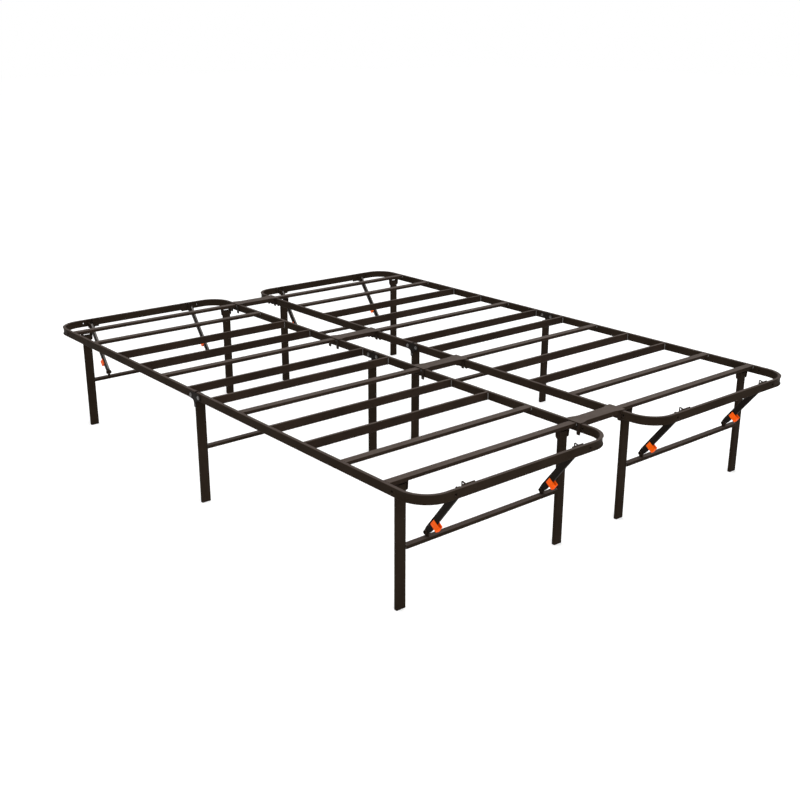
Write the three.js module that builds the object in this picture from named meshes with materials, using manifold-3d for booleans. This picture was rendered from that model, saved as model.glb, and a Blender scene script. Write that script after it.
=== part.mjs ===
// Folding metal bed frame: two narrow folding units side by side, joined by four cross connectors.
// Units: millimetres. +X points to the foot end, +Y across the bed, +Z up.
// Origin: on the floor, below the middle of the bed.

import * as THREE from 'three';
import { mergeVertices } from 'three/addons/utils/BufferGeometryUtils.js';
import Module from 'manifold-3d';

const wasm = await Module();
wasm.setup();

// ---------------------------------------------------------------- overall sizes
const bedLength = 2032;
const bedWidth = 1524;
const deckHeight = 355.6;
const unitGap = 160;

// ---------------------------------------------------------------- fits
const weldGap = 0.3;
const slideGap = 0.4;
const pinGap = 0.4;
const fuse = 0.5;
const cutOver = 2;

// ---------------------------------------------------------------- deck rails
const railThick = 12;
const railTall = 25;
const railWall = 1.5;
const railEdgeRadius = 2;
const railBendRadius = 82;
const sideHoleFromEnd = 109;
const endHoleFromSide = 104.5;
const headboardHoleRadius = 4;

// ---------------------------------------------------------------- slats
const slatWide = 25;
const slatThin = 10;
const slatWall = 1.2;
const slatEdgeRadius = 2;
const endSlatInsets = [143, 312, 481];
const midSlatOffsets = [374.5, 225, 68];
const slatUpright = [false, false, true, true, false, true];

// ---------------------------------------------------------------- legs
const legWide = 30;
const legThick = 12;
const legWall = 1.5;
const legEdgeRadius = 2.5;
const footRound = 2.2;
const footPlug = 14;
const endLegInset = 39;
const crossbarWide = 20;
const crossbarTall = 10;
const crossbarWall = 1.2;
const endCrossbarHeight = 167.5;
const midCrossbarHeight = 177;

// ---------------------------------------------------------------- leg hangers below the end slats
const legPivotDrop = 28.6;
const legPinRadius = 4;
const legPinHeadRadius = 6.5;
const legPinHeadThick = 2.5;
const legTopOverPivot = 10;
const hangerPlate = 2.5;
const hangerWide = 20;
const hangerEndRadius = 9;

// ---------------------------------------------------------------- middle hinges
const hingeX = -8.5;
const hingePinHalfSpan = 21.5;
const hingePinRadius = 3.5;
const hingePinHeadRadius = 6;
const hingePinHeadThick = 2;
const hingePlate = 2.4;
const hingePlateRadius = 11;
const hingeWebGap = 0.6;
const hingeTabDrop = 18;
const hingeTabFlare = 6;
const tabRivetRadius = 3;
const tabRivetDrop = 11;
const railEndGap = 8.5;
const stopStudFromPin = 17;
const stopStudRadius = 2.5;
const stopStudTall = 1.5;

// ---------------------------------------------------------------- braces and clips
const braceWide = 8;
const braceDeep = 19.4;
const braceWall = 1.5;
const braceFromSide = 133.5;
const braceShift = 8;
const braceTopOver = 8;
const braceTipOver = 7;
const braceTaperLong = 16;
const braceTopPinFromRail = 17;
const braceTopPinDrop = 22.3;
const braceTopPinRadius = 3;
const clevisPlate = 2.5;
const clevisRadius = 7;
const clevisFlange = 26;
const clevisPlateRise = 1.5;
const clevisSpacerLong = 2.9;
const clevisSpacerRadius = 4.5;
const clevisBelowRail = 4;
const clevisPeakFromRail = 14;
const clevisPeakRise = 2;
const clevisPeakChamfer = 3;
const clevisTallWide = 18.5;
const clevisEarDrop = 10;
const clevisShoulder = 1;
const loopHoleRadius = 3.5;
const loopHoleDrop = 4.6;
const loopHoleFromPin = 5;
const clevisHeadRadius = 4.5;
const clevisHeadThick = 2;
const stopPinRadius = 3.5;
const stopPinRise = 12.5;
const stopPinSlotGap = 0.8;
const stopLugPlate = 4;
const stopLugRadius = 6;
const stopBoltRadius = 6.5;
const stopBoltThick = 4;
const clipLong = 19.4;
const clipWall = 2.2;
const clipDrop = 11.8;
const clipLip = 3.7;
const clipAboveStopPin = 44.8;
const clipNotchWide = 5;
const clipNotchLong = 9;

// ---------------------------------------------------------------- cross connectors
const connectorPlate = 2.5;
const connectorWide = 46;
const connectorFlareWide = 56;
const connectorFlareLong = 20;
const connectorSideTall = 14.8;
const fingerWide = 12;
const fingerFromCentre = 22;
const fingerTipWide = 5;
const fingerBelowRail = 8;

// ---------------------------------------------------------------- detail levels
const bendSegments = 4;
const edgeSegments = 1;
const earSegments = 2;
const pinSegments = 8;
const hexSides = 6;

// ---------------------------------------------------------------- derived places
const halfLength = bedLength / 2;
const unitWidth = (bedWidth - unitGap) / 2;
const unitCentre = (unitGap + unitWidth) / 2;
const railBottom = deckHeight - railTall;
const railMiddle = deckHeight - railTall / 2;
const railInner = unitWidth / 2 - railThick;
const railLineY = unitWidth / 2 - railThick / 2;
const endSlatX = halfLength - endSlatInsets[0];
const legPivotZ = deckHeight - legPivotDrop;
const endLegY = unitWidth / 2 - endLegInset - legWide / 2;
const midLegY = unitWidth / 2 - legWide / 2;
const hingeWebTop = railBottom - hingeWebGap;
const midLegTop = hingeWebTop - hingePlate - weldGap;
const endCrossbarTop = endCrossbarHeight + crossbarTall / 2;
const braceFromCentre = unitWidth / 2 - braceFromSide;
const braceTopX = halfLength - railThick - braceTopPinFromRail;
const braceTopZ = deckHeight - braceTopPinDrop;
const stopPinX = endSlatX;
const stopPinZ = endCrossbarTop + stopPinRise;
const braceSpan = Math.hypot(braceTopX - stopPinX, braceTopZ - stopPinZ);
const braceTurn = Math.PI - Math.atan2(braceTopZ - stopPinZ, braceTopX - stopPinX);

// ---------------------------------------------------------------- materials
const coated = new THREE.MeshStandardMaterial({ color: 0x2b2624, roughness: 0.45, metalness: 0.6 });
const coatedDark = new THREE.MeshStandardMaterial({ color: 0x1f1b19, roughness: 0.5, metalness: 0.6 });
const coatedBrown = new THREE.MeshStandardMaterial({ color: 0x3a322e, roughness: 0.42, metalness: 0.6 });
const orange = new THREE.MeshStandardMaterial({ color: 0xff5a00, roughness: 0.5, metalness: 0.0 });

// ---------------------------------------------------------------- solid helpers

/** Turns a closed geometry into a solid that can be joined and cut. */
function solidOf(geometry) {
  const bare = geometry.clone();
  bare.deleteAttribute('normal');
  bare.deleteAttribute('uv');
  const merged = mergeVertices(bare, 1e-4);
  const mesh = new wasm.Mesh({
    numProp: 3,
    vertProperties: Float32Array.from(merged.attributes.position.array),
    triVerts: Uint32Array.from(merged.index.array),
  });
  return new wasm.Manifold(mesh);
}

/** Turns a finished solid back into a geometry. */
function geometryOf(solid) {
  const mesh = solid.getMesh();
  const geometry = new THREE.BufferGeometry();
  geometry.setAttribute('position', new THREE.BufferAttribute(mesh.vertProperties, 3));
  geometry.setIndex(new THREE.BufferAttribute(mesh.triVerts, 1));
  geometry.computeVertexNormals();
  return geometry;
}

/** Joins all the solids into one. */
function joinAll(solids) {
  return solids.reduce((sum, solid) => sum.add(solid));
}

/** Cuts every tool out of the body. */
function cutAll(body, tools) {
  return tools.reduce((rest, tool) => rest.subtract(tool), body);
}

/** Box between two corners. */
function boxSolid(low, high) {
  const geometry = new THREE.BoxGeometry(high[0] - low[0], high[1] - low[1], high[2] - low[2]);
  geometry.translate((low[0] + high[0]) / 2, (low[1] + high[1]) / 2, (low[2] + high[2]) / 2);
  return solidOf(geometry);
}

/** Round or six-sided pin along Y between two Y values. */
function pinSolid(x, z, radius, fromY, toY, sides = pinSegments) {
  const geometry = new THREE.CylinderGeometry(radius, radius, toY - fromY, sides);
  geometry.translate(x, (fromY + toY) / 2, z);
  return solidOf(geometry);
}

/** Round pin along X between two X values. */
function crossPinSolid(y, z, radius, fromX, toX) {
  const geometry = new THREE.CylinderGeometry(radius, radius, toX - fromX, pinSegments);
  geometry.rotateZ(Math.PI / 2);
  geometry.translate((fromX + toX) / 2, y, z);
  return solidOf(geometry);
}

/** Rectangle with rounded corners, centred on the origin. */
function roundedRect(width, height, radius) {
  const w = width / 2;
  const h = height / 2;
  const shape = new THREE.Shape();
  shape.moveTo(-w + radius, -h);
  shape.lineTo(w - radius, -h);
  shape.absarc(w - radius, -h + radius, radius, -Math.PI / 2, 0, false);
  shape.lineTo(w, h - radius);
  shape.absarc(w - radius, h - radius, radius, 0, Math.PI / 2, false);
  shape.lineTo(-w + radius, h);
  shape.absarc(-w + radius, h - radius, radius, Math.PI / 2, Math.PI, false);
  shape.lineTo(-w, -h + radius);
  shape.absarc(-w + radius, -h + radius, radius, Math.PI, 1.5 * Math.PI, false);
  return shape;
}

/** Polygon from corner points. */
function polygon(points) {
  const shape = new THREE.Shape();
  shape.moveTo(points[0][0], points[0][1]);
  for (const [x, y] of points.slice(1)) {
    shape.lineTo(x, y);
  }
  return shape;
}

/** Extrudes a shape drawn in X and Y from one Z to another. */
function extrudeUp(shape, fromZ, toZ, curveSegments = edgeSegments) {
  const options = { depth: toZ - fromZ, bevelEnabled: false, curveSegments };
  const geometry = new THREE.ExtrudeGeometry(shape, options);
  geometry.translate(0, 0, fromZ);
  return solidOf(geometry);
}

/** Extrudes a shape up with its top and bottom edges rounded, keeping its outline. */
function extrudeUpRounded(shape, fromZ, toZ, radius, curveSegments = edgeSegments) {
  const options = {
    depth: toZ - fromZ - 2 * radius,
    bevelThickness: radius,
    bevelSize: radius,
    bevelOffset: -radius,
    bevelSegments: edgeSegments,
    curveSegments,
  };
  const geometry = new THREE.ExtrudeGeometry(shape, options);
  geometry.translate(0, 0, fromZ + radius);
  return solidOf(geometry);
}

/** Extrudes a shape drawn in X and Z from one Y to another. */
function extrudeAcross(shape, fromY, toY, curveSegments = earSegments) {
  const options = { depth: toY - fromY, bevelEnabled: false, curveSegments };
  const geometry = new THREE.ExtrudeGeometry(shape, options);
  geometry.rotateX(Math.PI / 2);
  geometry.translate(0, toY, 0);
  return solidOf(geometry);
}

// ---------------------------------------------------------------- deck rail

/** Plan outline of a U-bent rail, open towards the hinge, inset by a wall. */
function railPlan(startX, inset) {
  const outer = railBendRadius;
  const bendX = halfLength - outer;
  const bendY = unitWidth / 2 - outer;
  const outR = outer - inset;
  const inR = outer - railThick + inset;
  const outX = bendX + outR;
  const outY = bendY + outR;
  const inX = bendX + inR;
  const inY = bendY + inR;
  const shape = new THREE.Shape();
  shape.moveTo(startX, -outY);
  shape.lineTo(bendX, -outY);
  shape.absarc(bendX, -bendY, outR, -Math.PI / 2, 0, false);
  shape.lineTo(outX, bendY);
  shape.absarc(bendX, bendY, outR, 0, Math.PI / 2, false);
  shape.lineTo(startX, outY);
  shape.lineTo(startX, inY);
  shape.lineTo(bendX, inY);
  shape.absarc(bendX, bendY, inR, Math.PI / 2, 0, true);
  shape.lineTo(inX, -bendY);
  shape.absarc(bendX, -bendY, inR, 0, -Math.PI / 2, true);
  shape.lineTo(startX, -inY);
  return shape;
}

/** Bracket on the end rail for the top of a brace: plate, two ears, a pivot pin and its spacer. */
function braceClevis(y) {
  const inward = -Math.sign(y);
  const earIn = braceWide / 2 + slideGap;
  const earOut = earIn + clevisPlate;
  const tallIn = earIn + clevisSpacerLong;
  const tallOut = tallIn + clevisPlate;
  const wallX = halfLength - railThick;
  const plateX = wallX - clevisPlate;
  const plateEnd = y + inward * (tallOut + clevisFlange);
  const plateStart = y - inward * earOut;
  const plate = boxSolid(
    [plateX, Math.min(plateStart, plateEnd), railBottom - clevisBelowRail],
    [wallX + fuse, Math.max(plateStart, plateEnd), deckHeight - clevisShoulder],
  );
  const strip = boxSolid(
    [plateX, Math.min(plateStart, plateEnd), deckHeight - clevisEarDrop],
    [wallX - weldGap, Math.max(plateStart, plateEnd), deckHeight + clevisPlateRise],
  );
  const lowEar = new THREE.Shape();
  lowEar.moveTo(plateX + fuse, deckHeight - clevisEarDrop);
  lowEar.lineTo(braceTopX, deckHeight - clevisEarDrop);
  lowEar.lineTo(braceTopX - clevisRadius, braceTopZ);
  lowEar.absarc(braceTopX, braceTopZ, clevisRadius, Math.PI, 1.5 * Math.PI, false);
  lowEar.lineTo(plateX + fuse, braceTopZ - clevisRadius + fuse);
  const peakZ = deckHeight + clevisPeakRise;
  const tallX = wallX - clevisTallWide;
  const tallEar = new THREE.Shape();
  tallEar.moveTo(plateX + fuse, deckHeight - clevisShoulder);
  tallEar.lineTo(wallX - clevisPeakFromRail, peakZ);
  tallEar.lineTo(tallX + clevisPeakChamfer, peakZ);
  tallEar.lineTo(tallX, peakZ - clevisPeakChamfer);
  tallEar.lineTo(tallX, deckHeight - clevisEarDrop);
  tallEar.lineTo(braceTopX - clevisRadius, braceTopZ);
  tallEar.absarc(braceTopX, braceTopZ, clevisRadius, Math.PI, 1.5 * Math.PI, false);
  tallEar.lineTo(plateX + fuse, braceTopZ - clevisRadius + fuse);
  const loop = pinSolid(
    braceTopX + loopHoleFromPin, deckHeight - loopHoleDrop, loopHoleRadius,
    y - 2 * braceWide, y + 2 * braceWide, hexSides,
  );
  const nearEar = extrudeAcross(lowEar, -clevisPlate / 2, clevisPlate / 2);
  const farEar = extrudeAcross(tallEar, -clevisPlate / 2, clevisPlate / 2);
  const lowEnds = [y - inward * (earOut + clevisHeadThick), y - inward * (earOut - fuse)];
  const tallEnds = [y + inward * (tallOut - fuse), y + inward * (tallOut + clevisHeadThick)];
  const spacerEnds = [y + inward * earIn, y + inward * (tallIn + fuse)];
  const pinEnds = [y - inward * earOut, y + inward * tallOut];
  const along = ([a, b], radius) => (
    pinSolid(braceTopX, braceTopZ, radius, Math.min(a, b), Math.max(a, b))
  );
  return joinAll([
    plate,
    strip,
    nearEar.translate([0, y - inward * (earIn + earOut) / 2, 0]),
    farEar.translate([0, y + inward * (tallIn + tallOut) / 2, 0]).subtract(loop),
    along(pinEnds, braceTopPinRadius),
    along(lowEnds, clevisHeadRadius),
    along(tallEnds, clevisHeadRadius),
    along(spacerEnds, clevisSpacerRadius),
  ]);
}

/** One U-bent rail of a half deck, hollow, with its holes and brace clevises. */
function railGeometry(startX, pinX, studX) {
  const beyond = startX - railThick;
  const skin = extrudeUpRounded(railPlan(beyond, 0), railBottom, deckHeight, railEdgeRadius, bendSegments);
  const hollow = extrudeUp(
    railPlan(beyond, railWall), railBottom + railWall, deckHeight - railWall, bendSegments,
  );
  const trim = boxSolid(
    [beyond - cutOver, -unitWidth, railBottom - cutOver], [startX, unitWidth, deckHeight + cutOver],
  );
  const sideHoleX = halfLength - sideHoleFromEnd;
  const endHoleY = unitWidth / 2 - endHoleFromSide;
  const clevises = [-1, 1].map((side) => braceClevis(side * braceFromCentre + braceShift));
  const sides = [-1, 1].map((side) => side * railLineY);
  const studs = sides.flatMap((y) => {
    const out = Math.sign(y);
    const near = y + out * (railThick / 2 - fuse);
    const far = y + out * (railThick / 2 + stopStudTall);
    return [pinSolid(studX, railMiddle, stopStudRadius, Math.min(near, far), Math.max(near, far))];
  });
  const sideCuts = sides.flatMap((y) => {
    const from = y - railThick / 2 - cutOver;
    const to = y + railThick / 2 + cutOver;
    return [
      pinSolid(sideHoleX, railMiddle, headboardHoleRadius, from, to),
      pinSolid(pinX, railMiddle, hingePinRadius + pinGap, from, to),
    ];
  });
  const endCuts = [-1, 1].map((side) => (
    crossPinSolid(side * endHoleY, railMiddle, headboardHoleRadius,
      halfLength - railThick - cutOver, halfLength + cutOver)
  ));
  const walls = cutAll(skin, [trim, hollow]);
  return geometryOf(cutAll(joinAll([walls, ...clevises, ...studs]), [...sideCuts, ...endCuts]));
}

// ---------------------------------------------------------------- slats

/** Open-ended slat tube across one unit. */
function slatTube(upright) {
  const wide = upright ? slatThin : slatWide;
  const tall = upright ? slatWide : slatThin;
  const half = railInner - weldGap;
  const shape = roundedRect(wide, tall, slatEdgeRadius);
  const inX = wide / 2 - slatWall;
  const inZ = tall / 2 - slatWall;
  const z = deckHeight - tall / 2;
  const skin = extrudeAcross(shape, -half, half, edgeSegments);
  const hollow = boxSolid([-inX, -half - cutOver, -inZ], [inX, half + cutOver, inZ]);
  return skin.subtract(hollow).translate([0, 0, z]);
}

/** U-shaped hanger with a pivot pin that carries one end leg below a slat. */
function legHanger(y) {
  const earIn = legWide / 2 + slideGap;
  const earOut = earIn + hangerPlate;
  const slatBottom = deckHeight - slatThin;
  const base = boxSolid(
    [-hangerWide / 2, y - earOut, slatBottom - hangerPlate], [hangerWide / 2, y + earOut, slatBottom + fuse],
  );
  const outline = new THREE.Shape();
  outline.moveTo(-hangerWide / 2, slatBottom - hangerPlate / 2);
  outline.lineTo(-hangerEndRadius, legPivotZ);
  outline.absarc(0, legPivotZ, hangerEndRadius, Math.PI, 2 * Math.PI, false);
  outline.lineTo(hangerWide / 2, slatBottom - hangerPlate / 2);
  const ears = [[-earOut, -earIn], [earIn, earOut]].map(([from, to]) => (
    extrudeAcross(outline, y + from, y + to)
  ));
  const pin = pinSolid(0, legPivotZ, legPinRadius, y - earOut, y + earOut);
  const heads = [-1, 1].map((side) => {
    const near = y + side * (earOut - fuse);
    const far = y + side * (earOut + legPinHeadThick);
    return pinSolid(0, legPivotZ, legPinHeadRadius, Math.min(near, far), Math.max(near, far));
  });
  return joinAll([base, ...ears, pin, ...heads]);
}

const plainSlats = [false, true].map((upright) => geometryOf(slatTube(upright)));
const legSlat = geometryOf(joinAll([slatTube(false), legHanger(-endLegY), legHanger(endLegY)]));

// ---------------------------------------------------------------- leg frames

/** Outer skin of one leg tube with a rounded foot. */
function legSkin(y, top) {
  const skin = extrudeUpRounded(roundedRect(legThick, legWide, legEdgeRadius), 0, top, footRound);
  return skin.translate([0, y, 0]);
}

/** Hollow inside one leg tube, open at its top. */
function legHollow(y, top) {
  const inX = legThick / 2 - legWall;
  const inY = legWide / 2 - legWall;
  return boxSolid([-inX, y - inY, footPlug], [inX, y + inY, top + cutOver]);
}

/** Lug on the crossbar with the bolt that a brace fork drops over, and the nut on the bolt. */
function braceStop(y) {
  const lugSide = stopLugPlate / 2;
  const headIn = braceWide / 2 + slideGap;
  const headOut = headIn + stopBoltThick;
  const foot = endCrossbarTop - fuse;
  const outline = new THREE.Shape();
  outline.moveTo(-stopLugRadius, foot);
  outline.lineTo(stopLugRadius, foot);
  outline.lineTo(stopLugRadius, stopPinZ);
  outline.absarc(0, stopPinZ, stopLugRadius, 0, Math.PI, false);
  return joinAll([
    extrudeAcross(outline, y - lugSide, y + lugSide),
    pinSolid(0, stopPinZ, stopPinRadius, y - headOut, y + headOut),
    pinSolid(0, stopPinZ, stopBoltRadius, y - headOut, y - headIn, hexSides),
    pinSolid(0, stopPinZ, stopBoltRadius, y + headIn, y + headOut, hexSides),
  ]);
}

/** Two legs with their low crossbar, and whatever is fixed to it. */
function legFrame(legY, top, crossbarZ, fittings, cuts) {
  const span = legY - legWide / 2 + fuse;
  const reach = legY - legWide / 2 + 2 * legWall;
  const bar = extrudeAcross(
    roundedRect(crossbarWide, crossbarTall, slatEdgeRadius), -span, span, edgeSegments,
  ).translate([0, 0, crossbarZ]);
  const barHollow = boxSolid(
    [-legThick / 2 + legWall, -reach, crossbarZ - crossbarTall / 2 + crossbarWall],
    [legThick / 2 - legWall, reach, crossbarZ + crossbarTall / 2 - crossbarWall],
  );
  const skins = [-legY, legY].map((y) => legSkin(y, top));
  const hollows = [-legY, legY].map((y) => legHollow(y, top));
  const body = cutAll(joinAll([...skins, bar]), [...hollows, barHollow]);
  return geometryOf(cutAll(joinAll([body, ...fittings]), cuts));
}

const endLegTop = legPivotZ + legTopOverPivot;
const endPinHoles = [-endLegY, endLegY].map((y) => (
  pinSolid(0, legPivotZ, legPinRadius + pinGap, y - legWide, y + legWide)
));
const endLegFrame = legFrame(
  endLegY, endLegTop, endCrossbarHeight,
  [-1, 1].map((side) => braceStop(side * braceFromCentre + braceShift)), endPinHoles,
);
const midLegFrame = legFrame(midLegY, midLegTop, midCrossbarHeight, [], []);

// ---------------------------------------------------------------- middle hinge saddles

/** Both plates of a middle hinge, the web that sits on the leg, and the two pivot rivets. */
function hingeSaddle() {
  const plateIn = railThick / 2 + weldGap;
  const plateOut = plateIn + hingePlate;
  const tabHalf = legThick / 2;
  const low = railMiddle - hingePlateRadius;
  const wing = hingePinHalfSpan;
  const upper = new THREE.Shape();
  upper.moveTo(-wing, low);
  upper.lineTo(wing, low);
  upper.absarc(wing, railMiddle, hingePlateRadius, -Math.PI / 2, Math.PI / 2, false);
  upper.lineTo(-wing, railMiddle + hingePlateRadius);
  upper.absarc(-wing, railMiddle, hingePlateRadius, Math.PI / 2, 1.5 * Math.PI, false);
  const tab = new THREE.Shape();
  tab.moveTo(-tabHalf, midLegTop - hingeTabDrop);
  tab.lineTo(tabHalf, midLegTop - hingeTabDrop);
  tab.lineTo(tabHalf, midLegTop - hingeTabFlare);
  tab.quadraticCurveTo(tabHalf, low, wing, low + fuse);
  tab.lineTo(-wing, low + fuse);
  tab.quadraticCurveTo(-tabHalf, low, -tabHalf, midLegTop - hingeTabFlare);
  const outer = joinAll([
    extrudeAcross(upper, -plateOut, -plateIn),
    extrudeAcross(tab, -plateOut, -plateIn),
    pinSolid(0, midLegTop - tabRivetDrop, tabRivetRadius, -plateOut - hingePinHeadThick, -plateIn - fuse),
  ]);
  const inner = extrudeAcross(upper, plateIn, plateOut);
  const webLow = hingeWebTop - hingePlate;
  const web = boxSolid([-tabHalf, -plateOut, webLow], [tabHalf, plateOut, hingeWebTop]);
  const neck = boxSolid([-tabHalf, plateIn, webLow], [tabHalf, plateOut, railMiddle]);
  const pins = [-wing, wing].map((x) => pinSolid(x, railMiddle, hingePinRadius, -plateOut, plateOut));
  const heads = [-wing, wing].flatMap((x) => [
    pinSolid(x, railMiddle, hingePinHeadRadius, -plateOut - hingePinHeadThick, -plateOut + fuse),
    pinSolid(x, railMiddle, hingePinHeadRadius, plateOut - fuse, plateOut + hingePinHeadThick),
  ]);
  return geometryOf(joinAll([outer, inner, web, neck, ...pins, ...heads]));
}

const saddle = hingeSaddle();

// ---------------------------------------------------------------- braces and clips

/** Channel brace along +X from its top pivot, open towards +Y, with an open slot in its narrow tip. */
function braceGeometry() {
  const half = braceDeep / 2;
  const round = braceTopOver / 2;
  const outline = new THREE.Shape();
  outline.moveTo(round - braceTopOver, -half);
  outline.lineTo(braceSpan - braceTaperLong, -half);
  outline.lineTo(braceSpan, -braceTipOver);
  outline.absarc(braceSpan, 0, braceTipOver, -Math.PI / 2, Math.PI / 2, false);
  outline.lineTo(braceSpan - braceTaperLong, half);
  outline.lineTo(round - braceTopOver, half);
  outline.absarc(round - braceTopOver, half - round, round, Math.PI / 2, Math.PI, false);
  outline.lineTo(-braceTopOver, round - half);
  outline.absarc(round - braceTopOver, round - half, round, Math.PI, 1.5 * Math.PI, false);
  const body = extrudeAcross(outline, -braceWide / 2, braceWide / 2);
  const inside = half - braceWall;
  const channel = boxSolid(
    [-braceTopOver - cutOver, braceWall - braceWide / 2, -inside],
    [braceSpan + braceTipOver + cutOver, braceWide / 2 + cutOver, inside],
  );
  const slotHalf = stopPinRadius + stopPinSlotGap;
  const wide = braceWide;
  const cuts = [
    channel,
    pinSolid(0, 0, braceTopPinRadius + pinGap, -wide, wide),
    pinSolid(braceSpan, 0, slotHalf, -wide, wide),
    boxSolid([braceSpan, -wide, -slotHalf], [braceSpan + 2 * braceTipOver, wide, slotHalf]),
  ];
  return geometryOf(cutAll(body, cuts));
}

/** Saddle clip around a brace, in the brace's own frame and open on one side. */
function clipGeometry() {
  const sideIn = braceWide / 2 + slideGap;
  const sideOut = sideIn + clipWall;
  const webIn = braceDeep / 2 + clipDrop;
  const webOut = webIn + clipWall;
  const x = braceSpan - clipAboveStopPin;
  const fromX = x - clipLong / 2;
  const toX = x + clipLong / 2;
  const block = boxSolid([fromX, -sideOut, -clipLip], [toX, sideOut, webOut]);
  const bore = boxSolid([fromX - cutOver, -sideIn, -clipLip - cutOver], [toX + cutOver, sideIn, webIn]);
  const short = boxSolid([fromX - cutOver, 0, -clipLip - cutOver], [toX + cutOver, sideOut + cutOver, 0]);
  const notch = boxSolid(
    [fromX - cutOver, -clipNotchWide / 2, 0],
    [fromX + clipNotchLong, clipNotchWide / 2, webOut + cutOver],
  );
  return geometryOf(cutAll(block, [bore, short, notch]));
}

const brace = braceGeometry();
const clip = clipGeometry();

// ---------------------------------------------------------------- cross connectors

/** Inverted channel across the gap that hooks over both inner rails. */
function connectorGeometry() {
  const plateLow = deckHeight + weldGap;
  const plateTop = plateLow + connectorPlate;
  const gapY = unitGap / 2 - weldGap;
  const innerY = unitGap / 2 + railThick + weldGap;
  const endY = innerY + connectorPlate;
  const half = connectorWide / 2;
  const flare = connectorFlareWide / 2;
  const flareY = unitGap / 2 - connectorFlareLong;
  const top = extrudeUp(polygon([
    [-flare, -endY], [flare, -endY], [flare, -unitGap / 2], [half, -flareY],
    [half, flareY], [flare, unitGap / 2], [flare, endY], [-flare, endY],
    [-flare, unitGap / 2], [-half, flareY], [-half, -flareY],
    [-flare, -unitGap / 2],
  ]), plateLow, plateTop);
  const sideLow = plateTop - connectorSideTall;
  const sides = [-1, 1].map((side) => {
    const a = side * half;
    const b = side * (half - connectorPlate);
    return boxSolid([Math.min(a, b), -gapY, sideLow], [Math.max(a, b), gapY, plateLow + fuse]);
  });
  const tipZ = railBottom - fingerBelowRail;
  const outX = fingerFromCentre + fingerWide / 2;
  const tipX = fingerFromCentre + fingerTipWide / 2;
  const neckX = fingerFromCentre - fingerWide / 2;
  const skirt = polygon([
    [-outX, plateLow + fuse], [-outX, railBottom], [-tipX, tipZ], [-neckX, railBottom],
    [neckX, railBottom], [tipX, tipZ], [outX, railBottom], [outX, plateLow + fuse],
  ]);
  const finger = polygon([
    [fingerFromCentre - fingerWide / 2, plateLow + fuse],
    [fingerFromCentre - fingerWide / 2, railBottom],
    [fingerFromCentre - fingerTipWide / 2, tipZ],
    [fingerFromCentre + fingerTipWide / 2, tipZ],
    [outX, railBottom],
    [outX, plateLow + fuse],
  ]);
  const hooks = [
    extrudeAcross(skirt, -gapY, -gapY + connectorPlate),
    extrudeAcross(skirt, gapY - connectorPlate, gapY),
    extrudeAcross(finger, -endY, -innerY),
    extrudeAcross(finger, innerY, endY),
    extrudeAcross(finger, -endY, -innerY).translate([-2 * fingerFromCentre, 0, 0]),
    extrudeAcross(finger, innerY, endY).translate([-2 * fingerFromCentre, 0, 0]),
  ];
  return geometryOf(joinAll([top, ...sides, ...hooks]));
}

const connector = connectorGeometry();

// ---------------------------------------------------------------- assembly

const frame = new THREE.Group();

/** Adds one named piece to a group. */
function addPiece(group, name, geometry, material, position, turnY = 0, turnZ = 0) {
  const mesh = new THREE.Mesh(geometry, material);
  mesh.name = name;
  mesh.position.set(...position);
  mesh.rotation.set(0, turnY, turnZ);
  group.add(mesh);
}

const units = [
  { name: 'near', side: -1 },
  { name: 'far', side: 1 },
];

// Each end is built facing +X; the head end is the same set of pieces turned half a turn.
const ends = [
  { name: 'foot', turn: 0, hinge: hingeX, numbers: [12, 11, 10, 9, 8, 7] },
  { name: 'head', turn: Math.PI, hinge: -hingeX, numbers: [1, 2, 3, 4, 5, 6] },
];

for (const end of ends) {
  const group = new THREE.Group();
  group.rotation.z = end.turn;
  frame.add(group);
  const startX = end.hinge + railEndGap / 2;
  const pinX = end.hinge + hingePinHalfSpan;
  const rail = railGeometry(startX, pinX, pinX + stopStudFromPin);
  const facing = Math.cos(end.turn);
  const slatXs = [
    ...endSlatInsets.map((inset) => halfLength - inset),
    ...midSlatOffsets,
  ];
  for (const unit of units) {
    const y = facing * unit.side * unitCentre;
    const tag = `${unit.name}_${end.name}`;
    addPiece(group, `rail_${tag}`, rail, coated, [0, y, 0]);
    slatXs.forEach((x, index) => {
      const number = String(end.numbers[index]).padStart(2, '0');
      const plain = plainSlats[slatUpright[index] ? 1 : 0];
      const geometry = index === 0 ? legSlat : plain;
      addPiece(group, `slat_${unit.name}_${number}`, geometry, coatedBrown, [x, y, 0]);
    });
    addPiece(group, `end_legs_${tag}`, endLegFrame, coated, [endSlatX, y, 0]);
    for (const which of [-1, 1]) {
      const place = which * facing === unit.side ? 'outer' : 'inner';
      const at = [braceTopX, y + which * braceFromCentre + braceShift, braceTopZ];
      addPiece(group, `brace_${tag}_${place}`, brace, coatedDark, at, braceTurn);
      addPiece(group, `clip_${tag}_${place}`, clip, orange, at, braceTurn);
    }
  }
  for (const [name, x] of [['end', slatXs[0]], ['middle', slatXs[4]]]) {
    addPiece(group, `connector_${end.name}_${name}`, connector, coatedBrown, [x, 0, 0]);
  }
}

for (const unit of units) {
  const y = unit.side * unitCentre;
  addPiece(frame, `mid_legs_${unit.name}`, midLegFrame, coated, [hingeX, y, 0]);
  for (const side of [-1, 1]) {
    const place = side === unit.side ? 'outer' : 'inner';
    const turnZ = side < 0 ? 0 : Math.PI;
    const at = [hingeX, y + side * railLineY, 0];
    addPiece(frame, `hinge_${unit.name}_${place}`, saddle, coatedDark, at, 0, turnZ);
  }
}

export default frame;
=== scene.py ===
"""Folding metal bed frame, dressed around its solid parts.

Every length in the classes below is in millimetres. A shape is worked out as loops of points, the loops
are joined into a closed skin, and the skin becomes a mesh in metres where the piece stands.
"""

from __future__ import annotations

import logging
import math
from dataclasses import dataclass
from enum import Enum
from typing import Sequence

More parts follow.
